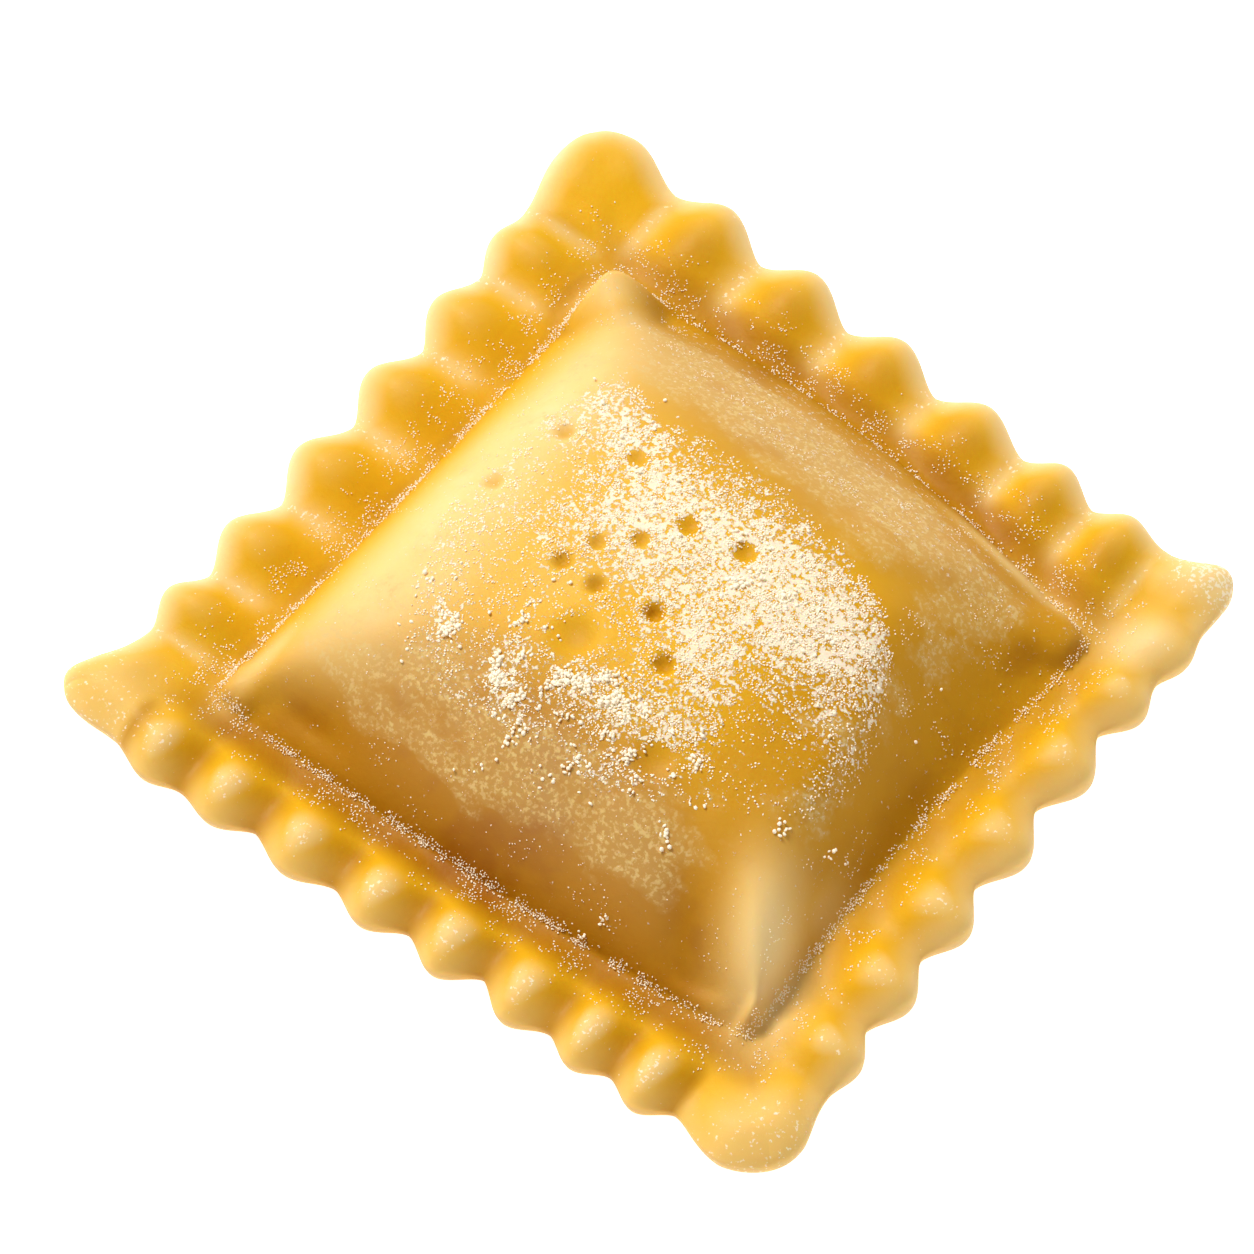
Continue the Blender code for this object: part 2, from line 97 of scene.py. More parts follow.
# The middle of the outline's box, which is moved to the origin.
OUTLINE_MIDDLE = (-0.52, 1.04)

# How near the crease each side's lobes begin and reach full height, as shares of the
# rim's width. The back and left lobes are long ridges, the front ones short bumps.
LOBE_START = sides((0.08, 0.62), (0.0, 0.5), (0.02, 0.55), (0.08, 0.62))
LOBE_FULLNESS = 1.1
VALLEY_HEIGHT = 1.85
PAD_HEIGHT = 2.6
PAD_BEAD = 0.3
EDGE_HEIGHT = 1.25
EDGE_ROUNDING = 2.4

# A lower steepness makes the wall on that side more upright at the crease.
STEEPNESS = sides(0.76, 0.66, 0.88, 1.2)
# How many times the shoulder is smoothed, and how strongly on each side.
SHOULDER_ROUNDS = 90
SHOULDER_SOFTNESS = sides(0.9, 0.22, 1.0, 0.16)
TOP_SQUARENESS = 2.3
FOOT_SQUARENESS = 11.0
# Each corner of the pillow is drawn out into a nose on a ridge. For each: the nose's
# height, the length of its tip, its reach inwards and half its width, then how far the
# flank beside the ridge is hollowed towards the front or back crease, and towards the other.
NOSES = corners(
    (1.4, 2.4, 5.0, 2.0, 0.75, 0.2), (1.7, 1.8, 5.0, 1.5, 0.75, 0.0),
    (3.2, 1.6, 4.5, 3.6, 0.5, 0.45), (1.7, 3.2, 5.0, 2.0, 0.1, 0.45),
)
# How much nearer a ridge lies to the left or right crease than to the other one.
RIDGE_LEAN = {"front_left": 0.3, "front_right": 2.0}
PINCH_REACH = 8.5
FOOT_HALF_WIDTH = 19.0
# Hollows and folds in the pillow, as (x, y, length, width, turn in degrees, height).
FOLDS = (
    (-12.2, -16.8, 4.4, 2.6, 0.0, -0.55), (-12.6, 16.8, 2.4, 1.5, -5.0, -0.6),
    (14.2, -15.4, 3.8, 2.0, -40.0, -1.2), (17.9, -13.7, 4.2, 1.7, -60.0, 1.0),
    (14.6, 10.8, 3.4, 2.0, 40.0, -0.3),
)
# Places of painted light and of painted shade on the dough, as (x, y, length, width, turn in degrees,
# amount).
LIGHT_SPOTS = (
    (17.7, -13.8, 4.4, 2.3, -58.0, 1.0), (18.4, -9.4, 2.6, 0.9, 90.0, 0.4),
    (22.6, 16.6, 2.6, 2.0, 40.0, 0.9), (-16.3, 16.0, 2.0, 1.8, -45.0, 0.6),
    (-17.2, -15.5, 3.4, 0.9, 80.0, 0.6), (14.0, 15.6, 4.5, 0.6, -5.0, 0.7),
)
SHADE_SPOTS = (
    (14.0, -15.6, 3.6, 1.6, -42.0, 1.0), (-11.9, -17.1, 4.4, 1.8, 0.0, 1.0),
    (17.6, 11.0, 3.2, 1.6, 80.0, 0.9),
)
# The shoulder where the filling's top turns down into the walls, as (x, y, height above
# the rim, fullness of the wall below it).
SHOULDER = (
    (-11.0, 9.8, 6.0, 1.1), (-6.6, 8.3, 7.0, 1.02), (-0.8, 8.5, 7.5, 1.0), (5.6, 7.7, 7.6, 1.0),
    (10.8, 6.1, 7.3, 1.0), (13.4, 3.0, 7.2, 1.0), (14.9, -0.5, 7.2, 1.02), (15.4, -4.5, 6.9, 1.05),
    (14.0, -8.5, 6.2, 1.15), (8.0, -12.0, 6.4, 1.3), (-2.0, -12.6, 6.3, 1.35),
    (-10.0, -11.0, 5.9, 1.3), (-13.2, -3.0, 6.3, 1.3), (-12.6, 4.0, 6.2, 1.3),
)
SHOULDER_MIDDLE = (1.0, -2.0)
# How much shade is painted into the dough's colour on each side, in the trough beside the pillow
# and on the pillow's wall, how much light is painted on the wall's upper part there, and how much
# film of flour lies on it, its tan partly painted half shade.
TROUGH_SHADE = sides(1.0, 0.85, 0.25, 0.55)
WALL_SHADE = sides(1.0, 0.75, 0.0, 0.6)
WALL_LIGHT = sides(0.15, 0.2, 0.8, 0.0)
HAZE = sides(1.05, 1.3, 0.5, 0.5)
# How much shade is painted in the middle of each side's lobes and at its notches, and how much
# light is painted along the line inwards from each notch (where some flour also gathers), on the
# rim's edge, on the lobes' crests and on the corner pads.
DISH_SHADE = sides(0.0, 0.5, 0.2, 0.05)
NOTCH_SHADE = sides(0.8, 0.0, 0.0, 0.25)
NOTCH_FLOUR_AND_LIGHT = sides(0.0, 0.5, 0.5, 0.15)
EDGE_LIGHT = sides(0.4, 0.8, 0.9, 0.6)
CREST_LIGHT = sides(1.0, 0.25, 0.3, 0.9)
PAD_LIGHT = corners(0.45, 0.5, 0.0, 0.95)
# How much loose flour lies on the walls, along the crease and on the rim beside it.
WALL_FLOUR = sides(0.35, 1.0, 0.3, 0.5)
CREASE_FLOUR = sides(1.0, 0.4, 1.0, 0.9)
RIM_FLOUR = sides(0.75, 0.9, 1.0, 0.7)
# Small pits pressed into the top, as (x, y, radius, depth).
PITS = (
    (1.3, -2.6, 0.55, 0.75), (3.7, -4.9, 0.6, 0.55), (-2.5, -3.1, 0.55, 0.5),
    (-5.1, -2.9, 0.55, 0.45), (-4.2, -0.8, 0.5, 0.35), (-2.3, 0.8, 0.5, 0.4),
    (-0.6, 3.2, 0.65, 0.4), (3.0, 3.7, 0.65, 0.4), (-10.8, 4.7, 0.6, 0.35), (-6.0, 5.4, 0.6, 0.3),
    (-12.1, -0.3, 0.6, 0.3), (-1.6, -6.3, 1.2, 0.3), (6.6, -9.7, 1.0, 0.3),
)
# Slow lumps over the whole dough, as (size across, height).
LUMPS = ((7.0, 0.1), (3.1, 0.05), (1.3, 0.02))

# The underside's rounding, as steps of (height, inset from the outline).
UNDERSIDE_STEPS = ((0.95, 0.02), (0.6, 0.12), (0.34, 0.28), (0.16, 0.5), (0.05, 0.76), (0.0, 1.05))

# How much flour lies on the top everywhere, and where it lies thick, or thin where the
# amount is below 0, as (x, y, length, width, turn in degrees, amount).
FLOUR_FILM = 0.39
FLOUR_PATCHES = (
    (-8.5, 7.2, 3.4, 2.2, -30.0, 1.0), (-3.0, 4.2, 5.5, 3.2, -10.0, 1.1),
    (4.5, 3.2, 6.0, 3.0, -12.0, 1.15), (9.5, 1.8, 3.6, 3.0, -40.0, 1.05),
    (0.5, -0.8, 5.0, 2.6, -10.0, 0.9), (5.5, -3.4, 4.0, 3.2, -30.0, 0.9),
    (-6.5, -0.2, 4.5, 3.0, 20.0, 0.75), (-3.6, -9.8, 2.6, 1.7, -60.0, 1.0),
    (2.4, -8.6, 3.6, 1.6, -15.0, 1.1), (6.6, -7.4, 2.4, 1.8, -20.0, 0.9),
    (-8.8, -9.6, 1.8, 1.4, -50.0, 0.6), (4.4, -12.0, 1.6, 0.6, 30.0, 0.6),
    (8.0, 4.5, 5.0, 2.4, -18.0, 0.8), (11.5, -6.5, 3.4, 3.0, 0.0, -0.6),
    (-9.0, 1.0, 3.6, 4.0, 0.0, -0.3),
)
# Where flour has balled into clumps, as (x, y, length, width, turn in degrees, amount).
CLUMP_PATCHES = (
    (-3.4, -9.9, 3.0, 1.7, -65.0, 1.3), (2.0, -8.9, 3.8, 1.6, -15.0, 1.3),
    (6.2, -7.6, 2.4, 1.5, -20.0, 0.7), (-8.6, -9.8, 2.2, 1.3, -50.0, 0.7),
    (4.2, -12.2, 1.8, 0.7, 30.0, 0.7), (4.0, 3.0, 6.0, 2.2, -12.0, 0.35),
    (-8.5, 7.4, 3.0, 1.6, -30.0, 0.35), (17.0, -6.6, 0.7, 0.4, 60.0, 0.6),
    (14.6, -8.4, 0.5, 0.4, 0.0, 0.5), (9.6, -12.6, 0.5, 0.4, 0.0, 0.5),
    (8.2, -17.8, 0.6, 0.5, 0.0, 0.7),
)
# The flour's edge round the top, as (x, y, how softly it fades).
FLOUR_EDGE = (
    (-10.9, 10.2, 1.0), (-6.6, 8.5, 0.8), (-0.8, 8.7, 0.6), (5.6, 7.8, 0.6), (10.8, 6.3, 0.6),
    (13.2, 4.0, 0.6), (14.7, 1.2, 0.7), (15.8, -2.5, 0.9), (15.4, -6.5, 1.4), (13.0, -8.6, 1.6),
    (9.4, -10.6, 1.2), (4.9, -12.9, 1.0), (1.6, -12.0, 1.0), (-3.7, -12.9, 1.2), (-6.1, -13.4, 1.6),
    (-10.2, -11.0, 1.8), (-12.4, -7.0, 2.0), (-13.4, -2.4, 2.0), (-13.0, 1.1, 1.8),
    (-12.4, 6.0, 1.4),
)
# Columns of the mesh on the rim and on the pillow, and how much closer they lie near the
# outline and near the crease.
RIM_COLUMNS = 40
PILLOW_COLUMNS = 196
RIM_CROWDING = 0.85
PILLOW_CROWDING = 0.55
# How many times neighbours are averaged: over the whole top, in the distance to the
# outline, in the directions away from it, and to see what stands out from its surroundings.
TOP_ROUNDS = 14
INSET_ROUNDS = 45
INWARD_ROUNDS = 40
RELIEF_ROUNDS = 60

# Scale and softness of each pattern of speckles.
SPECKLES = {
    "mottle": (170.0, 0.5),
    "glitter": (3800.0, 0.06),
    "streaks": (380.0, 0.17),
    "film": (3200.0, 0.12),
    "lace": (900.0, 0.22),
    "dust": (3600.0, 0.1),
    "grain": (2600.0, 0.4),
    "tint": (900.0, 0.5),
    "table": (40.0, 0.6),
}
SUN_ENERGY = 3.05
SUN_WIDTH = math.radians(16.0)
SUN_TURN = math.radians(169.0)
SUN_RISE = math.radians(57.0)
SKY_STRENGTH = 0.4
FLOOR_GLOW = 0.9
CAMERA_TURN = math.radians(37.08)
CAMERA_RISE = math.radians(60.7)
CAMERA_DISTANCE = 0.38
CAMERA_AIM = Vector((0.00052, -0.00104, 0.0))
CAMERA_LENS = 186.3
CAMERA_SHIFT = (-0.0299, 0.0235)


def mix(first, second, share):
    return first + (second - first) * share


def smooth_step(low, high, value):
    share = np.clip((value - low) / (high - low), 0.0, 1.0)
    return share * share * (3.0 - 2.0 * share)


def smooth_highest(first, second, sharpness):
    """The higher of two positive heights, with the step between them rounded off."""
    return (first**sharpness + second**sharpness) ** (1.0 / sharpness)


def soft_noise(x, y, size, seed):
    """Lumps of about this size between -1 and 1, the same at every run."""
    table = np.random.default_rng(seed).uniform(-1.0, 1.0, (64, 64))
    turn = 0.7 * seed
    across = (x * np.cos(turn) - y * np.sin(turn)) / size
    along = (x * np.sin(turn) + y * np.cos(turn)) / size
    column = np.floor(across).astype(int)
    row = np.floor(along).astype(int)
    across = smooth_step(0.0, 1.0, across - column)
    along = smooth_step(0.0, 1.0, along - row)
    low = mix(table[row % 64, column % 64], table[row % 64, (column + 1) % 64], across)
    high = mix(table[(row + 1) % 64, column % 64], table[(row + 1) % 64, (column + 1) % 64], across)
    return mix(low, high, along)


def soft_ellipse(x, y, ellipse):
    """A turned ellipse's amount in its middle, fading out over its length and width."""
    middle_x, middle_y, length, width, turn, amount = ellipse
    turn = np.radians(turn)
    lengthways = ((x - middle_x) * np.cos(turn) + (y - middle_y) * np.sin(turn)) / length
    sideways = ((y - middle_y) * np.cos(turn) - (x - middle_x) * np.sin(turn)) / width
    return amount * np.exp(-(lengthways**2) - sideways**2)


def in_corner(name, across, along):
    """Whether each crossing lies in the quarter of the named corner."""
    return ((along < 0.0) == name.startswith("front")) & ((across < 0.0) == name.endswith("left"))


def past_crease(across, along):
    """How far each crossing lies past the crease on each side, as a share of the rim."""
    return sides(-along - 1.0, along - 1.0, -across - 1.0, across - 1.0)


def column_marks():
    """The mesh's columns, from -2 to 2: the pillow lies between -1 and 1."""
    across = np.linspace(0.0, 1.0, RIM_COLUMNS + 1)[1:]
    rim = 1.0 + mix(across, np.sin(across * np.pi / 2.0), RIM_CROWDING)
    pillow = np.linspace(-1.0, 1.0, PILLOW_COLUMNS + 1)
    return np.concatenate([-rim[::-1], pillow, rim])


def notch_places(side):
    start, lobes, _ = FLUTES[side]
    return start + np.concatenate([[0.0], np.cumsum(lobes)])


def lobe_shape(side, along):
    """1 on a lobe's crest, 0 at a notch and past the side's first and last notch."""
    notches = notch_places(side)
    lobe = np.clip(np.searchsorted(notches, along) - 1, 0, len(notches) - 2)
    share = (along - notches[lobe]) / (notches[lobe + 1] - notches[lobe])
    share = np.clip(share, 0.0, 1.0)
    return (0.5 - 0.5 * np.cos(2.0 * np.pi * share)) ** FLUTE_ROUNDING


def pad_shape(side, along):
    """0 between the side's first and last notch, rising to 1 on the corner pads."""
    notches = notch_places(side)
    beyond = np.maximum(notches[0] - along, along - notches[-1])
    share = np.clip(beyond / PAD_RISE, 0.0, 1.0)
    return (0.5 - 0.5 * np.cos(np.pi * share)) ** FLUTE_ROUNDING


def notch_cut(side, along):
    """How far the outline lies inside the line that touches the side's crests."""
    _, _, depths = FLUTES[side]
    depth = np.interp(along, notch_places(side), depths)
    return depth * (1.0 - lobe_shape(side, along) - pad_shape(side, along))


def move_to_notches(side, along):
    """Shifts the columns a little, so that one of them meets each notch of the side."""
    notches = notch_places(side)
    columns = np.array([np.abs(along - place).argmin() for place in notches])
    columns = np.concatenate([[0], columns, [len(along) - 1]])
    shifts = np.concatenate([[0.0], notches - along[columns[1:-1]], [0.0]])
    return along + np.interp(np.arange(len(along)), columns, shifts)


def plan_places(marks):
    """X and Y of every column crossing, before notches and round corners are made."""

    def spread(axis, *edges):
        """One coordinate of all crossings, from the first edge's row to the second's."""
        lines = []
        for side, first, last in edges:
            ends = (RIM_CORNERS[first], FOOT_CORNERS[first], FOOT_CORNERS[last], RIM_CORNERS[last])
            on_foot = np.interp(marks, (-2.0, -1.0, 1.0, 2.0), [end[axis] for end in ends])
            lines.append((move_to_notches(side, on_foot), on_foot))
        (low_rim, low_foot), (high_rim, high_foot) = lines
        rows = marks[:, None]
        middle = mix(low_foot, high_foot, np.clip(rows / 2.0 + 0.5, 0.0, 1.0))
        to_low = np.clip(-rows - 1.0, 0.0, 1.0)
        to_high = np.clip(rows - 1.0, 0.0, 1.0)
        return mix(mix(middle, low_rim, to_low), high_rim, to_high)

    x = spread(0, ("front", "front_left", "front_right"), ("back", "back_left", "back_right"))
    y = spread(1, ("left", "front_left", "back_left"), ("right", "front_right", "back_right")).T
    return x, y


def crowd_to_foot(values):
    """Moves the pillow's columns outwards, where its wall is steep."""
    crowded = np.sin(values * np.pi / 2.0)
    return np.where(np.abs(values) < 1.0, crowded, values)


def pillow_marks(marks):
    """Marks of every crossing in both directions, closer together near the foot."""
    across, along = np.meshgrid(marks, marks)
    inner = (np.abs(across) < 1.0) & (np.abs(along) < 1.0)
    share_x = PILLOW_CROWDING * np.where(inner, 1.0 - along**4, 0.0)
    share_y = PILLOW_CROWDING * np.where(inner, 1.0 - across**4, 0.0)
    return mix(across, crowd_to_foot(across), share_x), mix(along, crowd_to_foot(along), share_y)


def read_off(table, marks, across, along):
    """Reads a table of crossings at marks that lie between its own, in both directions."""
    column = np.clip(np.searchsorted(marks, across) - 1, 0, len(marks) - 2)
    row = np.clip(np.searchsorted(marks, along) - 1, 0, len(marks) - 2)
    right = (across - marks[column]) / (marks[column + 1] - marks[column])
    up = (along - marks[row]) / (marks[row + 1] - marks[row])
    low = mix(table[row, column], table[row, column + 1], right)
    high = mix(table[row + 1, column], table[row + 1, column + 1], right)
    return mix(low, high, up)


def corner_scale(share, rounding):
    """How far a corner's boundary is drawn in, where share is 0 on a side and 1 at its tip."""
    flat = 1.0 - rounding
    square = 1.0 + share**2
    reach = flat * (1.0 + share)
    root = np.sqrt(np.maximum(reach**2 - square * (2.0 * flat**2 - rounding**2), 0.0))
    return np.where(share <= flat, 1.0, (reach + root) / square)


def shape_outline(x, y, across, along):
    """Rounds the pads and cuts the notches. The foot of the pillow stays where it is."""
    from_foot_x = np.clip(np.abs(across) - 1.0, 0.0, 1.0)
    from_foot_y = np.clip(np.abs(along) - 1.0, 0.0, 1.0)
    cut = {}
    for side, past in past_crease(across, along).items():
        place = x if side in ("front", "back") else y
        cut[side] = notch_cut(side, place) * np.clip(past, 0.0, 1.0) ** 2
    widest = np.maximum(from_foot_x, from_foot_y)
    share = np.minimum(from_foot_x, from_foot_y) / np.maximum(widest, 1e-9)
    on_pads = (from_foot_x > 0.0) & (from_foot_y > 0.0)
    reach = smooth_step(1.0, 1.9, np.abs(across)) * smooth_step(1.0, 1.9, np.abs(along))
    for name, foot in FOOT_CORNERS.items():
        here = in_corner(name, across, along)
        scale = 1.0 - (1.0 - corner_scale(share, PAD_ROUNDING[name])) * widest**2
        x = np.where(on_pads & here, foot[0] + (x - foot[0]) * scale, x)
        y = np.where(on_pads & here, foot[1] + (y - foot[1]) * scale, y)
        x = x + PAD_REACH[name][0] * reach * here
        y = y + PAD_REACH[name][1] * reach * here
    return x + cut["left"] - cut["right"], y + cut["front"] - cut["back"]


def shape_foot(x, y, across, along):
    """Bows the sides of the pillow's foot, and draws its corners in."""
    for side, bow in FOOT_BOW.items():
        sideways = side in ("left", "right")
        outwards = -1.0 if side in ("left", "front") else 1.0
        from_side, from_middle = (across, along) if sideways else (along, across)
        near = np.clip(1.0 - np.abs(from_side - outwards), 0.0, 1.0)
        shift = outwards * bow * near * np.clip(1.0 - from_middle**2, 0.0, 1.0)
        x = x + shift * sideways
        y = y + shift * (not sideways)
    for name, draw in CORNER_DRAW.items():
        foot = np.array(FOOT_CORNERS[name])
        near = draw * np.exp(-(((x - foot[0]) ** 2 + (y - foot[1]) ** 2) / CORNER_DRAW_REACH**2))
        x = x - np.sign(foot[0]) * near / np.sqrt(2.0)
        y = y - np.sign(foot[1]) * near / np.sqrt(2.0)
    return x, y


def neighbour_mean(z):
    padded = np.pad(z, 1, mode="edge")
    return (padded[:-2, 1:-1] + padded[2:, 1:-1] + padded[1:-1, :-2] + padded[1:-1, 2:]) / 4.0


def eased(z, share, rounds):
    """Smooths heights over their neighbours, by a share given for every crossing."""
    for _ in range(rounds):
        z = mix(z, neighbour_mean(z), share)
    return z


def relief(z):
    """How far each crossing stands above the mean of its surroundings, in millimetres."""
    mean = z
    for _ in range(RELIEF_ROUNDS):
        mean = neighbour_mean(mean)
    return z - mean


def side_value(table, across, along):
    """Blends a value given for each side by how far a point lies towards it."""
    towards = sides(-along, along, -across, across)
    shares = {side: np.maximum(value, 0.0) ** 6 for side, value in towards.items()}
    nothing = 1e-9
    total = sum(shares[side] * table[side] for side in table) + nothing * sum(table.values()) / 4.0
    return total / (sum(shares.values()) + nothing)


def from_corner(name, across, along):
    """Distance from a corner along its ridge in millimetres, the place between ridge (0)
    and crease (1), and whether the front or back crease is the nearer one."""
    from_side = 1.0 + across if name.endswith("left") else 1.0 - across
    from_end = 1.0 + along if name.startswith("front") else 1.0 - along
    both = from_side + from_end
    aside = np.abs(from_side - from_end) / np.maximum(both, 1e-6)
    return both / np.sqrt(2.0) * FOOT_HALF_WIDTH, np.clip(aside, 0.0, 1.0), from_end < from_side


def pillow_height(x, y, across, along, rise):
    """How far the pillow stands above the rim, with its noses and folds, before its pits."""
    across = np.clip(across, -1.0, 1.0)
    along = np.clip(along, -1.0, 1.0)
    for name, lean in RIDGE_LEAN.items():
        inwards, _, _ = from_corner(name, across, along)
        grown = 1.0 + lean * np.exp(-((inwards / PINCH_REACH) ** 2))
        outwards = -1.0 if name.endswith("left") else 1.0
        across = outwards * (1.0 - (1.0 - outwards * across) * grown)
    widest = np.maximum(np.abs(across), np.abs(along))
    squareness = mix(TOP_SQUARENESS, FOOT_SQUARENESS, smooth_step(0.35, 1.0, widest))
    away = (np.abs(across) ** squareness + np.abs(along) ** squareness) ** (1.0 / squareness)
    # The shoulder's reach, height and fullness are read by direction from the middle.
    reaches = [away.flat[np.hypot(x - point[0], y - point[1]).argmin()] for point in SHOULDER]
    table = [(point[0], point[1], reach, *point[2:]) for point, reach in zip(SHOULDER, reaches)]
    _, (_, reach, level, fullness) = read_round(x, y, SHOULDER_MIDDLE, table)
    top = rise - (rise - level) * np.clip(away / reach, 0.0, 1.0) ** 2.4
    down = np.clip((away - reach) / (1.0 - reach), 0.0, 1.0)
    wall = level * (1.0 - down**fullness) ** side_value(STEEPNESS, across, along)
    height = np.where(away < reach, top, wall)
    softness = side_value(SHOULDER_SOFTNESS, across, along) * (1.0 - smooth_step(0.75, 0.95, widest))
    height = eased(height, softness, SHOULDER_ROUNDS)
    for name, (nose, tip, reach, width, pinch_end, pinch_side) in NOSES.items():
        inwards, aside, end_flank = from_corner(name, across, along)
        near = np.exp(-((inwards / PINCH_REACH) ** 2))
        pinch = np.where(end_flank, pinch_end, pinch_side)
        height = height * (1.0 - pinch * near * smooth_step(0.0, 0.75, aside))
        lengthways = (inwards - tip) / np.where(inwards < tip, tip, reach)
        sideways = aside * inwards / width
        ridge = nose * np.sqrt(np.maximum(1.0 - lengthways**2 - sideways**2, 0.0) * (1.0 - aside**4))
        height = smooth_highest(height, ridge, 3.0)
    for fold in FOLDS:
        height = height + soft_ellipse(x, y, fold) * smooth_step(0.3, 1.8, height)
    return height


def read_round(x, y, middle, table):
    """Reads a table of (x, y, values...) by direction from the middle: its reach and values."""
    table = np.array(table)
    turn = np.arctan2(table[:, 1] - middle[1], table[:, 0] - middle[0])
    table = table[np.argsort(turn)]
    turn = np.sort(turn)
    reach = np.hypot(table[:, 0] - middle[0], table[:, 1] - middle[1])
    here = np.arctan2(y - middle[1], x - middle[0])
    around = 2.0 * np.pi
    read = [np.interp(here, turn, reach, period=around)]
    read += [np.interp(here, turn, table[:, column], period=around) for column in range(2, table.shape[1])]
    away = np.hypot(x - middle[0], y - middle[1])
    return away, read


def pit_depth(x, y):
    depth = np.zeros(x.shape)
    for pit_x, pit_y, radius, deep in PITS:
        away = np.hypot(x - pit_x, y - pit_y) / radius
        depth = depth + deep * np.exp(-(away**2.6)) - 0.12 * deep * np.exp(-(((away - 1.5) / 0.5) ** 2))
    return depth


def pit_mask(x, y):
    """1 inside the pits, which hold no flour."""
    mask = np.zeros(x.shape)
    for pit_x, pit_y, radius, _ in PITS:
        away = np.hypot(x - pit_x, y - pit_y) / radius
        mask = np.maximum(mask, 1.0 - smooth_step(0.8, 1.25, away))
    return mask


def outline_distance(x, y, outline):
    """How far each crossing lies from the nearest point of the outline."""
    nearest = np.full(x.shape, np.inf)
    ends = np.roll(outline, -1, axis=0)
    for start, end in zip(outline, ends):
        step = end - start
        share = ((x - start[0]) * step[0] + (y - start[1]) * step[1]) / (step @ step)
        share = np.clip(share, 0.0, 1.0)
        away = np.hypot(x - start[0] - share * step[0], y - start[1] - share * step[1])
        nearest = np.minimum(nearest, away)
    return nearest


def pad_mask(x, y, across, along):
    """1 on the corner pads, fading out towards the lobes and the pillow."""
    pad = np.maximum(pad_shape("front", x), pad_shape("back", x))
    pad = pad * np.maximum(pad_shape("left", y), pad_shape("right", y))
    from_foot = np.hypot(np.clip(np.abs(across) - 1.0, 0.0, 1.0), np.clip(np.abs(along) - 1.0, 0.0, 1.0))
    return pad * smooth_step(0.1, 0.8, from_foot)


def rim_height(x, y, across, along, inset, crest):
    """The rim's top, before its edge is rounded, for points this far inside the outline."""
    rise = np.zeros(x.shape)
    for side, past in past_crease(across, along).items():
        place = x if side in ("front", "back") else y
        start, full = LOBE_START[side]
        rise = rise + lobe_shape(side, place) ** LOBE_FULLNESS * smooth_step(start, full, past)
    height = VALLEY_HEIGHT + (crest - VALLEY_HEIGHT) * rise
    pad = pad_mask(x, y, across, along)
    bead = PAD_BEAD * np.exp(-(((inset - 1.9) / 1.1) ** 2))
    return height + pad * (PAD_HEIGHT - VALLEY_HEIGHT + bead)


def lobe_colours(x, y, across, along):
    """How much shade is painted in the lobes' dishes and notches, and how much light, partly flour, along
    each notch's line.
    """
    deep = np.zeros(x.shape)
    pale = np.zeros(x.shape)
    for side, past in past_crease(across, along).items():
        place = x if side in ("front", "back") else y
        notches = notch_places(side)
        within = smooth_step(notches[0] - 0.7, notches[0] + 0.3, place)
        within = within * (1.0 - smooth_step(notches[-1] - 0.3, notches[-1] + 0.7, place))
        lobe = lobe_shape(side, place)
        # Painted shade in each lobe's dish and notch valley, and painted light along each notch line, where
        # some flour also gathers.
        dish_shade = lobe**1.4 * smooth_step(0.1, 0.35, past) * (1.0 - smooth_step(0.5, 0.85, past))
        valley_shade = (1.0 - lobe) ** 1.5 * smooth_step(0.2, 0.6, past) * within
        line = (1.0 - lobe) ** 4.0 * smooth_step(0.1, 0.4, past) * within
        deep = np.maximum(deep, np.maximum(DISH_SHADE[side] * dish_shade, NOTCH_SHADE[side] * valley_shade))
        pale = np.maximum(pale, NOTCH_FLOUR_AND_LIGHT[side] * line)
    return deep, pale


def boundary_order(count):
    """Rows and columns of the boundary's crossings, anticlockwise from the front left."""
    last = count - 1
    steps = np.arange(last)
    rows = np.concatenate([steps * 0, steps, steps * 0 + last, last - steps])
    columns = np.concatenate([steps, steps * 0 + last, last - steps, steps * 0])
    return rows, columns


def flour_on_top(x, y):
    """How thickly flour lies on the pillow's top, from 0 to about 1."""
    away, (reach, fade) = read_round(x, y, SHOULDER_MIDDLE, FLOUR_EDGE)
    inside = smooth_step(0.0, 1.0, (reach - away) / fade + 0.4)
    thick = FLOUR_FILM + 0.6 * sum(soft_ellipse(x, y, patch) for patch in FLOUR_PATCHES)
    return np.clip(thick, 0.0, 1.3) * inside


def flour_clumps(x, y):
    return np.clip(sum(soft_ellipse(x, y, patch) for patch in CLUMP_PATCHES), 0.0, 1.0)


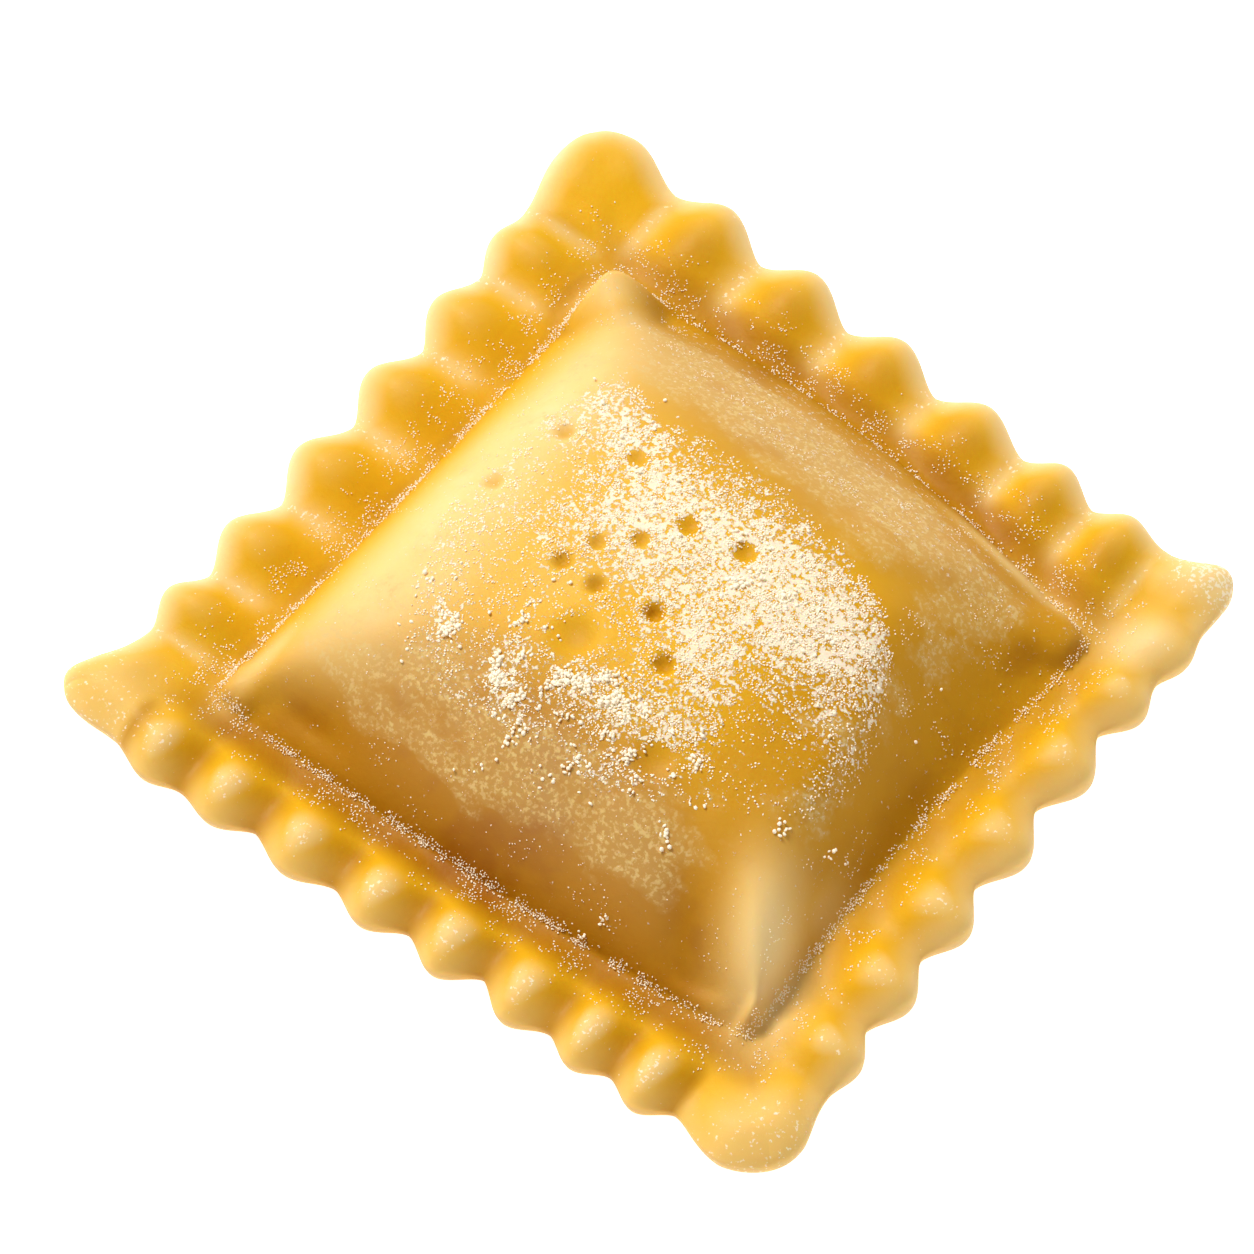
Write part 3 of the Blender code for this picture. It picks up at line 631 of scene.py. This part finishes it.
def colour_masks(x, y, z, across, along, inset, pits):
    """Painted shade (deep), painted light (pale), painted glints and the flour haze at every crossing."""
    over = np.maximum(np.abs(across), np.abs(along)) - 1.0
    stands = relief(z)
    # Painted shade in hollows and painted light on raised crests, by how far each crossing stands out.
    hollow_shade = 0.6 * smooth_step(0.05, 0.45, -stands)
    crests = 0.7 * smooth_step(0.08, 0.45, stands) * smooth_step(0.3, 0.7, over)
    crests = crests * side_value(CREST_LIGHT, across, along)
    # Painted light on the rim's thin edge and on the corner pads.
    edge = side_value(EDGE_LIGHT, across, along) * (1.0 - smooth_step(0.1, 2.4, inset))
    pads = pad_mask(x, y, across, along)
    pads = pads * sum(pale * in_corner(name, across, along) for name, pale in PAD_LIGHT.items())
    # Painted shade in the trough beside the pillow and on walls turned from the light, painted light on the
    # lit upper walls.
    trough_shade = side_value(TROUGH_SHADE, across, along) * smooth_step(-0.06, 0.0, over)
    trough_shade = trough_shade * (1.0 - smooth_step(0.15, 0.5, over))
    wall = side_value(WALL_SHADE, across, along) * smooth_step(-0.8, -0.3, over)
    wall = wall * (1.0 - smooth_step(-0.01, 0.05, over))
    lit_upper_wall = side_value(WALL_LIGHT, across, along) * (1.0 - smooth_step(-0.25, 0.0, over))
    lit_upper_wall = lit_upper_wall * (0.2 + 0.8 * smooth_step(-0.6, -0.3, over))
    lobes_shade, lobes_flour_and_light = lobe_colours(x, y, across, along)
    deep = np.maximum.reduce((hollow_shade, lobes_shade, trough_shade, wall))
    pale = np.maximum.reduce((crests, lobes_flour_and_light, edge, pads, lit_upper_wall)) * (1.0 - lobes_shade)
    # Spots of painted shade, then spots of painted light.
    clear = np.ones(x.shape)
    for ellipse in SHADE_SPOTS:
        spot = soft_ellipse(x, y, ellipse)
        deep = np.maximum(deep, spot)
        pale = pale * (1.0 - spot)
        clear = clear * (1.0 - spot)
    for ellipse in LIGHT_SPOTS:
        spot = soft_ellipse(x, y, ellipse)
        pale = np.maximum(pale, spot)
        deep = deep * (1.0 - spot)
        clear = clear * (1.0 - spot)
    # Painted shade in the pits, which also lose their painted light.
    deep = np.maximum(deep, np.clip(1.2 * pits, 0.0, 0.6))
    pale = pale * (1.0 - np.clip(2.0 * pits, 0.0, 1.0))
    # The film of flour on the walls; its tan colour is partly painted half shade.
    haze = side_value(HAZE, across, along) * clear
    return {
        "deep": np.clip(deep, 0.0, 1.0),
        "pale": np.clip(pale, 0.0, 1.0),
        # Painted glints on lit crests, pads and notch lines.
        "painted_sheen": np.clip(np.maximum.reduce((crests, pads, 1.2 * lobes_flour_and_light)), 0.0, 1.0),
        "haze": haze * (1.0 - smooth_step(-0.22, -0.03, over)) * smooth_step(-0.6, -0.3, over),
    }


def flour_masks(x, y, across, along):
    """How much flour lies at every crossing, for each kind of place."""
    over = np.maximum(np.abs(across), np.abs(along)) - 1.0
    bare = (1.0 - pit_mask(x, y)) * (over < 0.0)
    crease = side_value(CREASE_FLOUR, across, along)
    rim = side_value(RIM_FLOUR, across, along) * smooth_step(0.0, 0.1, over)
    faces = side_value(WALL_FLOUR, across, along) * (1.0 - smooth_step(-0.06, 0.0, over))
    return {
        "flour_top": flour_on_top(x, y) * bare,
        "flour_balls": flour_clumps(x, y) * bare,
        "flour_crease": crease * np.exp(-(((over - 0.012) / 0.018) ** 2)),
        "flour_rim": rim * (1.0 - smooth_step(0.1, 0.6, over)),
        "flour_faces": faces * smooth_step(-0.5, -0.3, over),
    }


def ravioli_top(settings):
    """X, Y and Z of every crossing on the top side in millimetres, and its masks."""
    marks = column_marks()
    across, along = pillow_marks(marks)
    x, y = plan_places(marks)
    x, y = read_off(x, marks, across, along), read_off(y, marks, across, along)
    x, y = shape_outline(x, y, across, along)
    rows, columns = boundary_order(len(marks))
    outline = np.stack([x[rows, columns], y[rows, columns]], axis=1)
    pillow = pillow_height(x, y, across, along, settings.pillow_rise / MM)
    x, y = shape_foot(x, y, across, along)
    inset = outline_distance(x, y, outline)
    pits = pit_depth(x, y) * settings.pit_depth
    lumps = sum(height * soft_noise(x, y, size, 3 + step) for step, (size, height) in enumerate(LUMPS))
    over = np.maximum(np.abs(across), np.abs(along)) - 1.0
    top = rim_height(x, y, across, along, inset, settings.crest_height / MM) + pillow
    top = eased(top, mix(0.3, 1.0, smooth_step(0.0, 0.25, over)), TOP_ROUNDS)
    top = top - pits * smooth_step(0.4, 2.5, pillow) + lumps * settings.unevenness
    inset = eased(inset, smooth_step(0.0, 1.0, inset), INSET_ROUNDS)
    near_edge = 1.0 - np.clip(inset / EDGE_ROUNDING, 0.0, 1.0)
    z = EDGE_HEIGHT + (top - EDGE_HEIGHT) * np.sqrt(np.maximum(1.0 - near_edge**2, 0.0))
    masks = colour_masks(x, y, z, across, along, inset, pits) | flour_masks(x, y, across, along)
    return x - OUTLINE_MIDDLE[0], y - OUTLINE_MIDDLE[1], z, masks


def inward_directions(outline):
    """Unit vectors that point into the ravioli, square to its anticlockwise outline."""
    step = np.roll(outline, -1, axis=0) - np.roll(outline, 1, axis=0)
    inwards = np.stack([-step[:, 1], step[:, 0]], axis=1)
    inwards = inwards / np.linalg.norm(inwards, axis=1, keepdims=True)
    for _ in range(INWARD_ROUNDS):
        inwards = (np.roll(inwards, 1, axis=0) + 2.0 * inwards + np.roll(inwards, -1, axis=0)) / 4.0
    return inwards / np.linalg.norm(inwards, axis=1, keepdims=True)


def body_mesh(settings):
    """The closed body as a mesh in metres, with its masks as attributes of its points."""
    x, y, z, masks = ravioli_top(settings)
    count = len(x)
    rows, columns = boundary_order(count)
    outline = np.stack([x[rows, columns], y[rows, columns]], axis=1)
    inwards = inward_directions(outline)
    number = np.arange(count * count).reshape(count, count)
    quads = np.stack([number[:-1, :-1], number[:-1, 1:], number[1:, 1:], number[1:, :-1]], axis=-1)
    faces = quads.reshape(-1, 4).tolist()
    points = [np.stack([x, y, z], axis=-1).reshape(-1, 3)]
    ring = number[rows, columns]
    source = [number.ravel()]
    for height, inset in UNDERSIDE_STEPS:
        places = outline + inwards * inset
        points.append(np.column_stack([places, np.full(len(places), height)]))
        source.append(number[rows, columns])
        lower = sum(map(len, points)) - len(places) + np.arange(len(places))
        belt = np.stack([ring, lower, np.roll(lower, -1), np.roll(ring, -1)], axis=-1)
        faces += belt.tolist()
        ring = lower
    faces.append(ring[::-1].tolist())
    data = bpy.data.meshes.new(NODE + "_dough")
    data.from_pydata((np.concatenate(points) * MM).tolist(), [], faces)
    smooth = np.ones(len(faces), bool)
    smooth[-1] = False
    data.polygons.foreach_set("use_smooth", smooth)
    source = np.concatenate(source)
    for name, values in masks.items():
        layer = data.attributes.new(name, "FLOAT", "POINT")
        layer.data.foreach_set("value", values.ravel()[source].astype(np.float32))
    data.update()
    return data


# Materials.


def fill(tree, node, inputs):
    """Sets a node's inputs, each to a value or from another node's socket."""
    for name, value in inputs.items():
        if isinstance(value, bpy.types.NodeSocket):
            tree.links.new(value, node.inputs[name])
        else:
            node.inputs[name].default_value = value


def put(tree, kind, place, inputs=None, **settings):
    """Adds a node with these properties and inputs, at a column and row."""
    node = tree.nodes.new(kind)
    node.location = (place[0] * 200.0, place[1] * -160.0)
    for name, value in settings.items():
        setattr(node, name, value)
    fill(tree, node, inputs or {})
    return node


def calculate(tree, operation, place, *values):
    return put(tree, "ShaderNodeMath", place, dict(enumerate(values)), operation=operation).outputs[0]


def speckle_group():
    """Group that puts out soft-edged speckles of a given size and amount, and their noise."""
    group = bpy.data.node_groups.new("Speckle", "ShaderNodeTree")
    group.interface.new_socket("Vector", in_out="INPUT", socket_type="NodeSocketVector")
    for label, value in (("Scale", 4000.0), ("Amount", 0.5), ("Softness", 0.1)):
        socket = group.interface.new_socket(label, in_out="INPUT", socket_type="NodeSocketFloat")
        socket.default_value = value
    for label in ("Mask", "Noise"):
        group.interface.new_socket(label, in_out="OUTPUT", socket_type="NodeSocketFloat")
    given = put(group, "NodeGroupInput", (-5, 0)).outputs
    inputs = {"Vector": given["Vector"], "Scale": given["Scale"], "Detail": 3.0, "Roughness": 0.6}
    noise = put(group, "ShaderNodeTexNoise", (-3, 0), inputs).outputs["Fac"]
    inputs = {"Value": given["Amount"], "From Min": 0.0, "From Max": 1.0, "To Min": 0.72, "To Max": 0.3}
    level = put(group, "ShaderNodeMapRange", (-3, 2), inputs).outputs["Result"]
    above = calculate(group, "SUBTRACT", (-1, 0), noise, level)
    scaled = calculate(group, "DIVIDE", (0, 0), above, given["Softness"])
    mask = put(group, "ShaderNodeClamp", (2, 0), {"Value": scaled}).outputs[0]
    put(group, "NodeGroupOutput", (5, 0), {"Mask": mask, "Noise": noise})
    return group


def speckles(tree, place, coordinates, pattern, amount=0.5, output="Mask"):
    """Uses the speckle group, which is built once and shared."""
    group = bpy.data.node_groups.get("Speckle") or speckle_group()
    scale, softness = SPECKLES[pattern]
    inputs = {"Vector": coordinates, "Scale": scale, "Softness": softness, "Amount": amount}
    return put(tree, "ShaderNodeGroup", place, inputs, node_tree=group).outputs[output]


def blend_colours(tree, place, first, second, share):
    """Mixes two colours, each a socket or four numbers, by a share."""
    return put(tree, "ShaderNodeMix", place, {0: share, 6: first, 7: second}, data_type="RGBA").outputs[2]


def new_material(name):
    """A material, its nodes, its shader and its object coordinates."""
    material = bpy.data.materials.new(name)
    material.use_nodes = True
    tree = material.node_tree
    shader = tree.nodes["Principled BSDF"]
    shader.location = (1400, 0)
    tree.nodes["Material Output"].location = (1700, 0)
    return material, tree, shader, put(tree, "ShaderNodeTexCoord", (-8, 0)).outputs["Object"]


def dough_material(settings):
    """Egg dough with painted shade in hollow places, creases and on walls turned from the light, painted
    light on lit crests, faces and thin edges, painted glints, and a film of flour in places.
    """
    material, tree, shader, place = new_material("egg_dough")

    def mask(name, row):
        return put(tree, "ShaderNodeAttribute", (-8, row), attribute_name=name).outputs["Fac"]

    def times(row, *values):
        return calculate(tree, "MULTIPLY", (-4, row), *values)

    mottle = speckles(tree, (-6, 6), place, "mottle")
    shade_mottle = calculate(tree, "MULTIPLY_ADD", (-5, 2), mottle, 0.5, 0.82)
    light_mottle = calculate(tree, "MULTIPLY_ADD", (-5, 3), mottle, 0.5, 0.75)
    # Painted glints: white specks on lit crests and pads.
    painted_glints = speckles(tree, (-6, 9), place, "glitter", times(9, mask("painted_sheen", 9), 0.55))
    # The haze is drawn out along the front and back walls, and broken up finely.
    drawn = put(tree, "ShaderNodeVectorMath", (-8, 11), {0: place, 1: (0.6, 1.0, 1.0)}, operation="MULTIPLY")
    streaks = speckles(tree, (-6, 12), drawn.outputs[0], "streaks", mask("haze", 12))
    film = speckles(tree, (-6, 14), place, "film", 0.52)
    film = calculate(tree, "MULTIPLY_ADD", (-4, 14), film, 0.7, 0.25)
    # The dust on the top is broken up by lace, and thins out over the walls.
    lace = speckles(tree, (-8, 7), place, "lace")
    lace = calculate(tree, "MULTIPLY_ADD", (-6, 7), lace, 0.55, 0.6)
    top = times(6, mask("flour_top", 6), lace)
    amount = calculate(tree, "MULTIPLY_ADD", (-3, 6), mask("flour_faces", 5), 0.3, top)
    dust = speckles(tree, (-2, 6), place, "dust", amount)
    dust_share = times(5, dust, 0.8)
    # Over the dough's own colour: painted shade, painted light, painted glints, the flour film whose tan is
    # partly painted half shade, and flour dust.
    layers = (
        (settings.painted_shade_colour, times(0, mask("deep", 0), shade_mottle)),
        (settings.painted_light_colour, times(2, mask("pale", 2), light_mottle)),
        (settings.flour_colour, times(10, painted_glints, 0.65)),
        (settings.shaded_haze_colour, times(12, streaks, film)),
        (settings.flour_colour, dust_share),
    )
    colour = settings.dough_colour
    for step, (layer, share) in enumerate(layers):
        colour = blend_colours(tree, (step, 0), colour, layer, share)
    inputs = {"Value": dust_share, "To Min": settings.dough_roughness, "To Max": 0.85}
    rough = put(tree, "ShaderNodeMapRange", (4, 3), inputs)
    grain = speckles(tree, (2, 6), place, "grain", output="Noise")
    inputs = {"Height": grain, "Strength": 0.35, "Distance": 0.00008}
    bump = put(tree, "ShaderNodeBump", (4, 5), inputs)
    inputs = {"Height": dust, "Strength": 0.6, "Distance": 0.0001, "Normal": bump.outputs["Normal"]}
    raised = put(tree, "ShaderNodeBump", (5, 5), inputs)
    fill(tree, shader, {
        "Base Color": colour,
        "Roughness": rough.outputs["Result"],
        "Normal": raised.outputs["Normal"],
        "Subsurface Weight": 0.3,
        "Subsurface Radius": (1.0, 0.4, 0.08),
        "Subsurface Scale": 0.0008,
        "Specular IOR Level": 0.15,
        "IOR": 1.42,
    })
    return material


def flour_material(settings):
    """Dry flour: warm white, rough, a little uneven from grain to grain."""
    material, tree, shader, place = new_material("dry_flour")
    share = calculate(tree, "MULTIPLY", (-2, 1), speckles(tree, (-4, 0), place, "tint"), 0.5)
    colour = blend_colours(tree, (0, 0), settings.flour_colour, settings.flour_shade, share)
    # A faint warm glow stands in for the light that passes through the grains.
    glow = {"Emission Color": (1.0, 0.8, 0.5, 1.0), "Emission Strength": 0.1}
    fill(tree, shader, {"Base Color": colour, "Roughness": 0.85} | glow)
    return material


def floor_material(settings):
    """A plain white table, faintly uneven, that glows as if lit from all sides."""
    material, tree, shader, place = new_material("pale_table")
    share = calculate(tree, "MULTIPLY", (-2, 1), speckles(tree, (-4, 0), place, "table"), 0.03)
    darker = [channel * 0.9 for channel in settings.floor_colour[:3]] + [1.0]
    colour = blend_colours(tree, (0, 0), settings.floor_colour, darker, share)
    glow = {"Emission Color": (1.0, 1.0, 1.0, 1.0), "Emission Strength": FLOOR_GLOW}
    fill(tree, shader, {"Base Color": colour, "Roughness": 0.6} | glow)
    return material


# Flour.


def flour_tree():
    """Geometry Nodes that scatter flour grains over a surface by one of its masks."""
    tree = bpy.data.node_groups.new("Flour scatter", "GeometryNodeTree")
    sockets = {
        "Surface": "Geometry",
        "Mask": "String",
        "Density": "Float",
        "Clump Size": "Float",
        "Clumping": "Float",
        "Grain Size": "Float",
        "Heap": "Float",
        "Seed": "Int",
        "Material": "Material",
    }
    for label, kind in sockets.items():
        tree.interface.new_socket(label, in_out="INPUT", socket_type="NodeSocket" + kind)
    tree.interface.new_socket("Flour", in_out="OUTPUT", socket_type="NodeSocketGeometry")
    given = put(tree, "NodeGroupInput", (-6, 0)).outputs
    seed = {"Seed": given["Seed"]}

    def add(kind, place, inputs, output=0, **settings):
        return put(tree, kind, place, inputs, **settings).outputs[output]

    inputs = {"Name": given["Mask"]}
    mask = add("GeometryNodeInputNamedAttribute", (-5, 2), inputs, "Attribute", data_type="FLOAT")
    place = add("GeometryNodeInputPosition", (-5, 4), {})
    scale = calculate(tree, "DIVIDE", (-5, 5), 1.0, given["Clump Size"])
    inputs = {"Vector": place, "Scale": scale, "Detail": 2.0}
    noise = add("ShaderNodeTexNoise", (-4, 4), inputs, "Fac")
    # Clumping 0 spreads the grains evenly, and 1 leaves them only where the noise is high.
    low = calculate(tree, "MULTIPLY", (-4, 6), given["Clumping"], 0.5)
    inputs = {"Value": noise, "From Min": low, "From Max": 0.62}
    clump = add("ShaderNodeMapRange", (-3, 4), inputs, "Result", interpolation_type="SMOOTHSTEP")
    density = calculate(tree, "MULTIPLY", (-2, 3), mask, clump)
    density = calculate(tree, "MULTIPLY", (-1, 3), density, given["Density"])
    inputs = {"Mesh": given["Surface"], "Density": density} | seed
    points = put(tree, "GeometryNodeDistributePointsOnFaces", (0, 0), inputs).outputs

    lift = add("FunctionNodeRandomValue", (0, 3), seed, 1, data_type="FLOAT")
    high = calculate(tree, "MULTIPLY", (1, 3), lift, given["Heap"])
    high = calculate(tree, "MULTIPLY", (2, 3), high, clump)
    offset = add("ShaderNodeVectorMath", (2, 1), {0: points["Normal"], "Scale": high}, operation="SCALE")
    lifted = add("GeometryNodeSetPosition", (3, 0), {"Geometry": points["Points"], "Offset": offset})

    inputs = {"Subdivisions": 1, "Radius": given["Grain Size"]}
    grain = add("GeometryNodeMeshIcoSphere", (2, 5), inputs, "Mesh")
    inputs = {"Min": (-0.3, -0.3, 0.0), "Max": (0.3, 0.3, 6.28)}
    turn = add("FunctionNodeRandomValue", (3, 3), inputs, data_type="FLOAT_VECTOR")
    inputs = {"Min": (0.35, 0.35, 0.3), "Max": (1.0, 1.0, 0.6), "Seed": 5}
    size = add("FunctionNodeRandomValue", (3, 5), inputs, data_type="FLOAT_VECTOR")
    spin = add("FunctionNodeRotateRotation", (4, 3), {"Rotation": points["Rotation"], "Rotate By": turn})
    inputs = {"Points": lifted, "Instance": grain, "Rotation": spin, "Scale": size}
    placed = add("GeometryNodeInstanceOnPoints", (4, 0), inputs)
    real = add("GeometryNodeRealizeInstances", (5, 0), {0: placed})
    smooth = add("GeometryNodeSetShadeSmooth", (6, 0), {"Geometry": real})
    inputs = {"Geometry": smooth, "Material": given["Material"]}
    painted = add("GeometryNodeSetMaterial", (7, 0), inputs)
    put(tree, "NodeGroupOutput", (8, 0), {0: painted})
    return tree


def scatter_flour(name, tree, surface, values):
    """Runs the flour tree on a copy of the surface, and keeps its grains as a plain mesh."""
    carrier = bpy.data.objects.new(name + "_carrier", surface.copy())
    bpy.context.scene.collection.objects.link(carrier)
    modifier = carrier.modifiers.new("Flour", "NODES")
    modifier.node_group = tree
    for item in tree.interface.items_tree:
        if item.in_out == "INPUT" and item.name in values:
            modifier[item.identifier] = values[item.name]
    graph = bpy.context.evaluated_depsgraph_get()
    data = bpy.data.meshes.new_from_object(carrier.evaluated_get(graph))
    carrier.modifiers.remove(modifier)
    copied = carrier.data
    bpy.data.objects.remove(carrier)
    bpy.data.meshes.remove(copied)
    if not data.polygons:
        raise RuntimeError(f"{name}: no grain of flour was made")
    for layer in [item.name for item in data.attributes if not item.is_required and not item.is_internal]:
        data.attributes.remove(data.attributes[layer])
    data.materials.clear()
    data.materials.append(values["Material"])
    data.name = name
    piece = bpy.data.objects.new(name, data)
    bpy.context.scene.collection.objects.link(piece)
    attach(piece, "root")


# Settings, operators and panel.


def number_setting(name, description, default, low, high, **kind):
    return bpy.props.FloatProperty(
        name=name, description=description, default=default, min=low, max=high, **kind
    )


def colour_setting(name, description, *channels):
    return bpy.props.FloatVectorProperty(
        name=name, description=description, default=(*channels, 1.0), size=4, subtype="COLOR"
    )


class RAVIOLI_PG_shape(bpy.types.PropertyGroup):
    """Sizes of the dough."""

    pillow_rise: number_setting(
        "Pillow rise", "Height of the filling's top above the rim", 0.0085, 0.003, 0.012, unit="LENGTH"
    )
    crest_height: number_setting(
        "Lobe height", "Height of the rim's lobes above the table", 0.0033, 0.002, 0.005, unit="LENGTH"
    )
    pit_depth: number_setting(
        "Pit depth", "Depth of the small pits in the top", 1.0, 0.0, 2.0, subtype="FACTOR"
    )
    unevenness: number_setting(
        "Unevenness", "Strength of the slow lumps left in the dough", 1.0, 0.0, 3.0, subtype="FACTOR"
    )


class RAVIOLI_PG_finish(bpy.types.PropertyGroup):
    """Colours and finish of dough, flour and table."""

    dough_colour: colour_setting("Dough", "Colour of the bare dough", 0.8, 0.43, 0.008)
    # Painted shade: the colour that stands for shade in hollows, pits, the trough and on walls turned from
    # the light.
    painted_shade_colour: colour_setting("Hollows", "Colour of the dough in a hollow", 0.36, 0.122, 0.0015)
    # Painted light: the colour that stands for light on lit crests, pads and upper walls, and on thin edges
    # that light shines through.
    painted_light_colour: colour_setting("Painted light", "Colour of thin edges and crests", 0.89, 0.715, 0.385)
    # A real film of flour on the walls; its dull tan is partly painted half shade.
    shaded_haze_colour: colour_setting("Haze", "Colour of the film of flour on the walls", 0.7, 0.49, 0.19)
    dough_roughness: number_setting(
        "Dough roughness", "Roughness of the bare dough", 0.46, 0.0, 1.0, subtype="FACTOR"
    )
    flour_colour: colour_setting("Flour", "Colour of the flour", 0.98, 0.9, 0.74)
    flour_shade: colour_setting("Damp flour", "Colour of grains tinted by the dough", 0.93, 0.76, 0.45)
    floor_colour: colour_setting("Table", "Colour of the table", 0.9, 0.9, 0.9)


class RAVIOLI_PG_flour(bpy.types.PropertyGroup):
    """Amounts and sizes of the flour."""

    amount: number_setting(
        "Amount", "How much loose flour lies on the ravioli", 1.0, 0.0, 1.2, subtype="FACTOR"
    )
    grain: number_setting(
        "Grain radius", "Radius of a large grain", 0.00014, 0.00005, 0.0004, unit="LENGTH"
    )
    seed: bpy.props.IntProperty(
        name="Seed", description="Another seed lays the grains in other places", default=7, min=0
    )


# Each layer of flour: mask, grains per square metre, clump size, clumping, grain size
# against the setting, and how high its heaps stand in metres.
FLOUR_LAYERS = {
    "flour_grains": ("flour_top", 6.0e7, 0.0008, 0.86, 0.6, 0.00006),
    "flour_clumps": ("flour_balls", 6.0e7, 0.0011, 1.1, 1.25, 0.0002),
    "flour_dust": ("flour_faces", 1.4e7, 0.0024, 1.15, 0.45, 0.00005),
    "flour_line": ("flour_crease", 1.9e8, 0.0010, 0.7, 0.5, 0.00016),
    "flour_specks": ("flour_rim", 3.4e7, 0.0012, 0.95, 0.5, 0.00005),
}


class RAVIOLI_OT_dough(bpy.types.Operator):
    """Builds the ravioli's dough over its solid"""

    bl_idname = "ravioli.dough"
    bl_label = "Dough"

    def execute(self, context):
        scene = context.scene
        data = body_mesh(scene.ravioli_shape)
        data.materials.append(dough_material(scene.ravioli_finish))
        piece = bpy.data.objects.new(NODE + "_dough", data)
        scene.collection.objects.link(piece)
        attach(piece, "root")
        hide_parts(NODE)
        return {"FINISHED"}


class RAVIOLI_OT_flour(bpy.types.Operator):
    """Scatters dry flour over the dough"""

    bl_idname = "ravioli.flour"
    bl_label = "Flour"

    def execute(self, context):
        scene = context.scene
        dough = bpy.data.objects.get(NODE + "_dough")
        if dough is None:
            raise RuntimeError("the flour needs the dough: run that operator first")
        settings = scene.ravioli_flour
        material = flour_material(scene.ravioli_finish)
        tree = flour_tree()
        for number, (name, layer) in enumerate(FLOUR_LAYERS.items()):
            mask, density, clump_size, clumping, grain, heap = layer
            values = {
                "Mask": mask,
                "Density": density * settings.amount,
                "Clump Size": clump_size,
                "Clumping": clumping,
                "Grain Size": grain * settings.grain,
                "Heap": heap,
                "Seed": settings.seed + number,
                "Material": material,
            }
            scatter_flour(name, tree, dough.data, values)
        return {"FINISHED"}


class RAVIOLI_OT_stage(bpy.types.Operator):
    """Sets up the table, the lights and the camera"""

    bl_idname = "ravioli.stage"
    bl_label = "Stage"

    def execute(self, context):
        scene = context.scene
        mesh = bmesh.new()
        bmesh.ops.create_grid(mesh, x_segments=1, y_segments=1, size=1.5)
        data = bpy.data.meshes.new("table")
        mesh.to_mesh(data)
        mesh.free()
        data.materials.append(floor_material(scene.ravioli_finish))
        table = bpy.data.objects.new("table", data)
        scene.collection.objects.link(table)
        add_lights(scene)
        add_camera(scene)
        scene.view_settings.view_transform = "Standard"
        return {"FINISHED"}


def add_lights(scene):
    """One broad sun high on the left (-X), and an even pale sky."""
    key = bpy.data.lights.new("key", "SUN")
    key.energy = SUN_ENERGY
    key.angle = SUN_WIDTH
    key.color = (1.0, 0.97, 0.92)
    lamp = bpy.data.objects.new("key", key)
    flat = math.cos(SUN_RISE)
    towards = Vector((math.cos(SUN_TURN) * flat, math.sin(SUN_TURN) * flat, math.sin(SUN_RISE)))
    lamp.matrix_world = towards.to_track_quat("Z", "Y").to_matrix().to_4x4()
    scene.collection.objects.link(lamp)
    world = bpy.data.worlds.new("surround")
    world.use_nodes = True
    sky = world.node_tree.nodes["Background"]
    sky.inputs["Color"].default_value = (1.0, 0.985, 0.965, 1.0)
    sky.inputs["Strength"].default_value = SKY_STRENGTH
    scene.world = world


def add_camera(scene):
    right = Vector((math.cos(CAMERA_TURN), math.sin(CAMERA_TURN), 0.0))
    flat = math.cos(CAMERA_RISE)
    back = Vector((math.sin(CAMERA_TURN) * flat, -math.cos(CAMERA_TURN) * flat, math.sin(CAMERA_RISE)))
    up = back.cross(right)
    data = bpy.data.cameras.new("camera")
    data.sensor_width = 36.0
    data.lens = CAMERA_LENS
    data.shift_x, data.shift_y = CAMERA_SHIFT
    data.clip_start = 0.01
    camera = bpy.data.objects.new("camera", data)
    turned = Matrix((right, up, back)).transposed().to_4x4()
    camera.matrix_world = Matrix.Translation(back * CAMERA_DISTANCE + CAMERA_AIM) @ turned
    scene.collection.objects.link(camera)
    scene.camera = camera


class RAVIOLI_PT_panel(bpy.types.Panel):
    """Lists the ravioli's settings and operators"""

    bl_idname = "RAVIOLI_PT_panel"
    bl_label = "Ravioli"
    bl_space_type = "VIEW_3D"
    bl_region_type = "UI"
    bl_category = "Ravioli"

    def draw(self, context):
        for group in GROUPS:
            settings = getattr(context.scene, group)
            for name in settings.__annotations__:
                self.layout.prop(settings, name)
        for operator in OPERATORS:
            self.layout.operator(operator.bl_idname)


OPERATORS = (RAVIOLI_OT_dough, RAVIOLI_OT_flour, RAVIOLI_OT_stage)
GROUPS = {
    "ravioli_shape": RAVIOLI_PG_shape,
    "ravioli_finish": RAVIOLI_PG_finish,
    "ravioli_flour": RAVIOLI_PG_flour,
}


def register():
    for group in (*GROUPS.values(), *OPERATORS, RAVIOLI_PT_panel):
        bpy.utils.register_class(group)
    for name, group in GROUPS.items():
        setattr(bpy.types.Scene, name, bpy.props.PointerProperty(type=group))


def unregister():
    for name in GROUPS:
        delattr(bpy.types.Scene, name)
    for group in (RAVIOLI_PT_panel, *OPERATORS, *reversed(GROUPS.values())):
        bpy.utils.unregister_class(group)


def write_sizes():
    """Updates the view layer."""
    bpy.context.view_layer.update()


def main():
    register()
    bpy.ops.ravioli.dough()
    bpy.ops.ravioli.flour()
    bpy.ops.ravioli.stage()
    write_sizes()


if __name__ == "__main__":
    main()
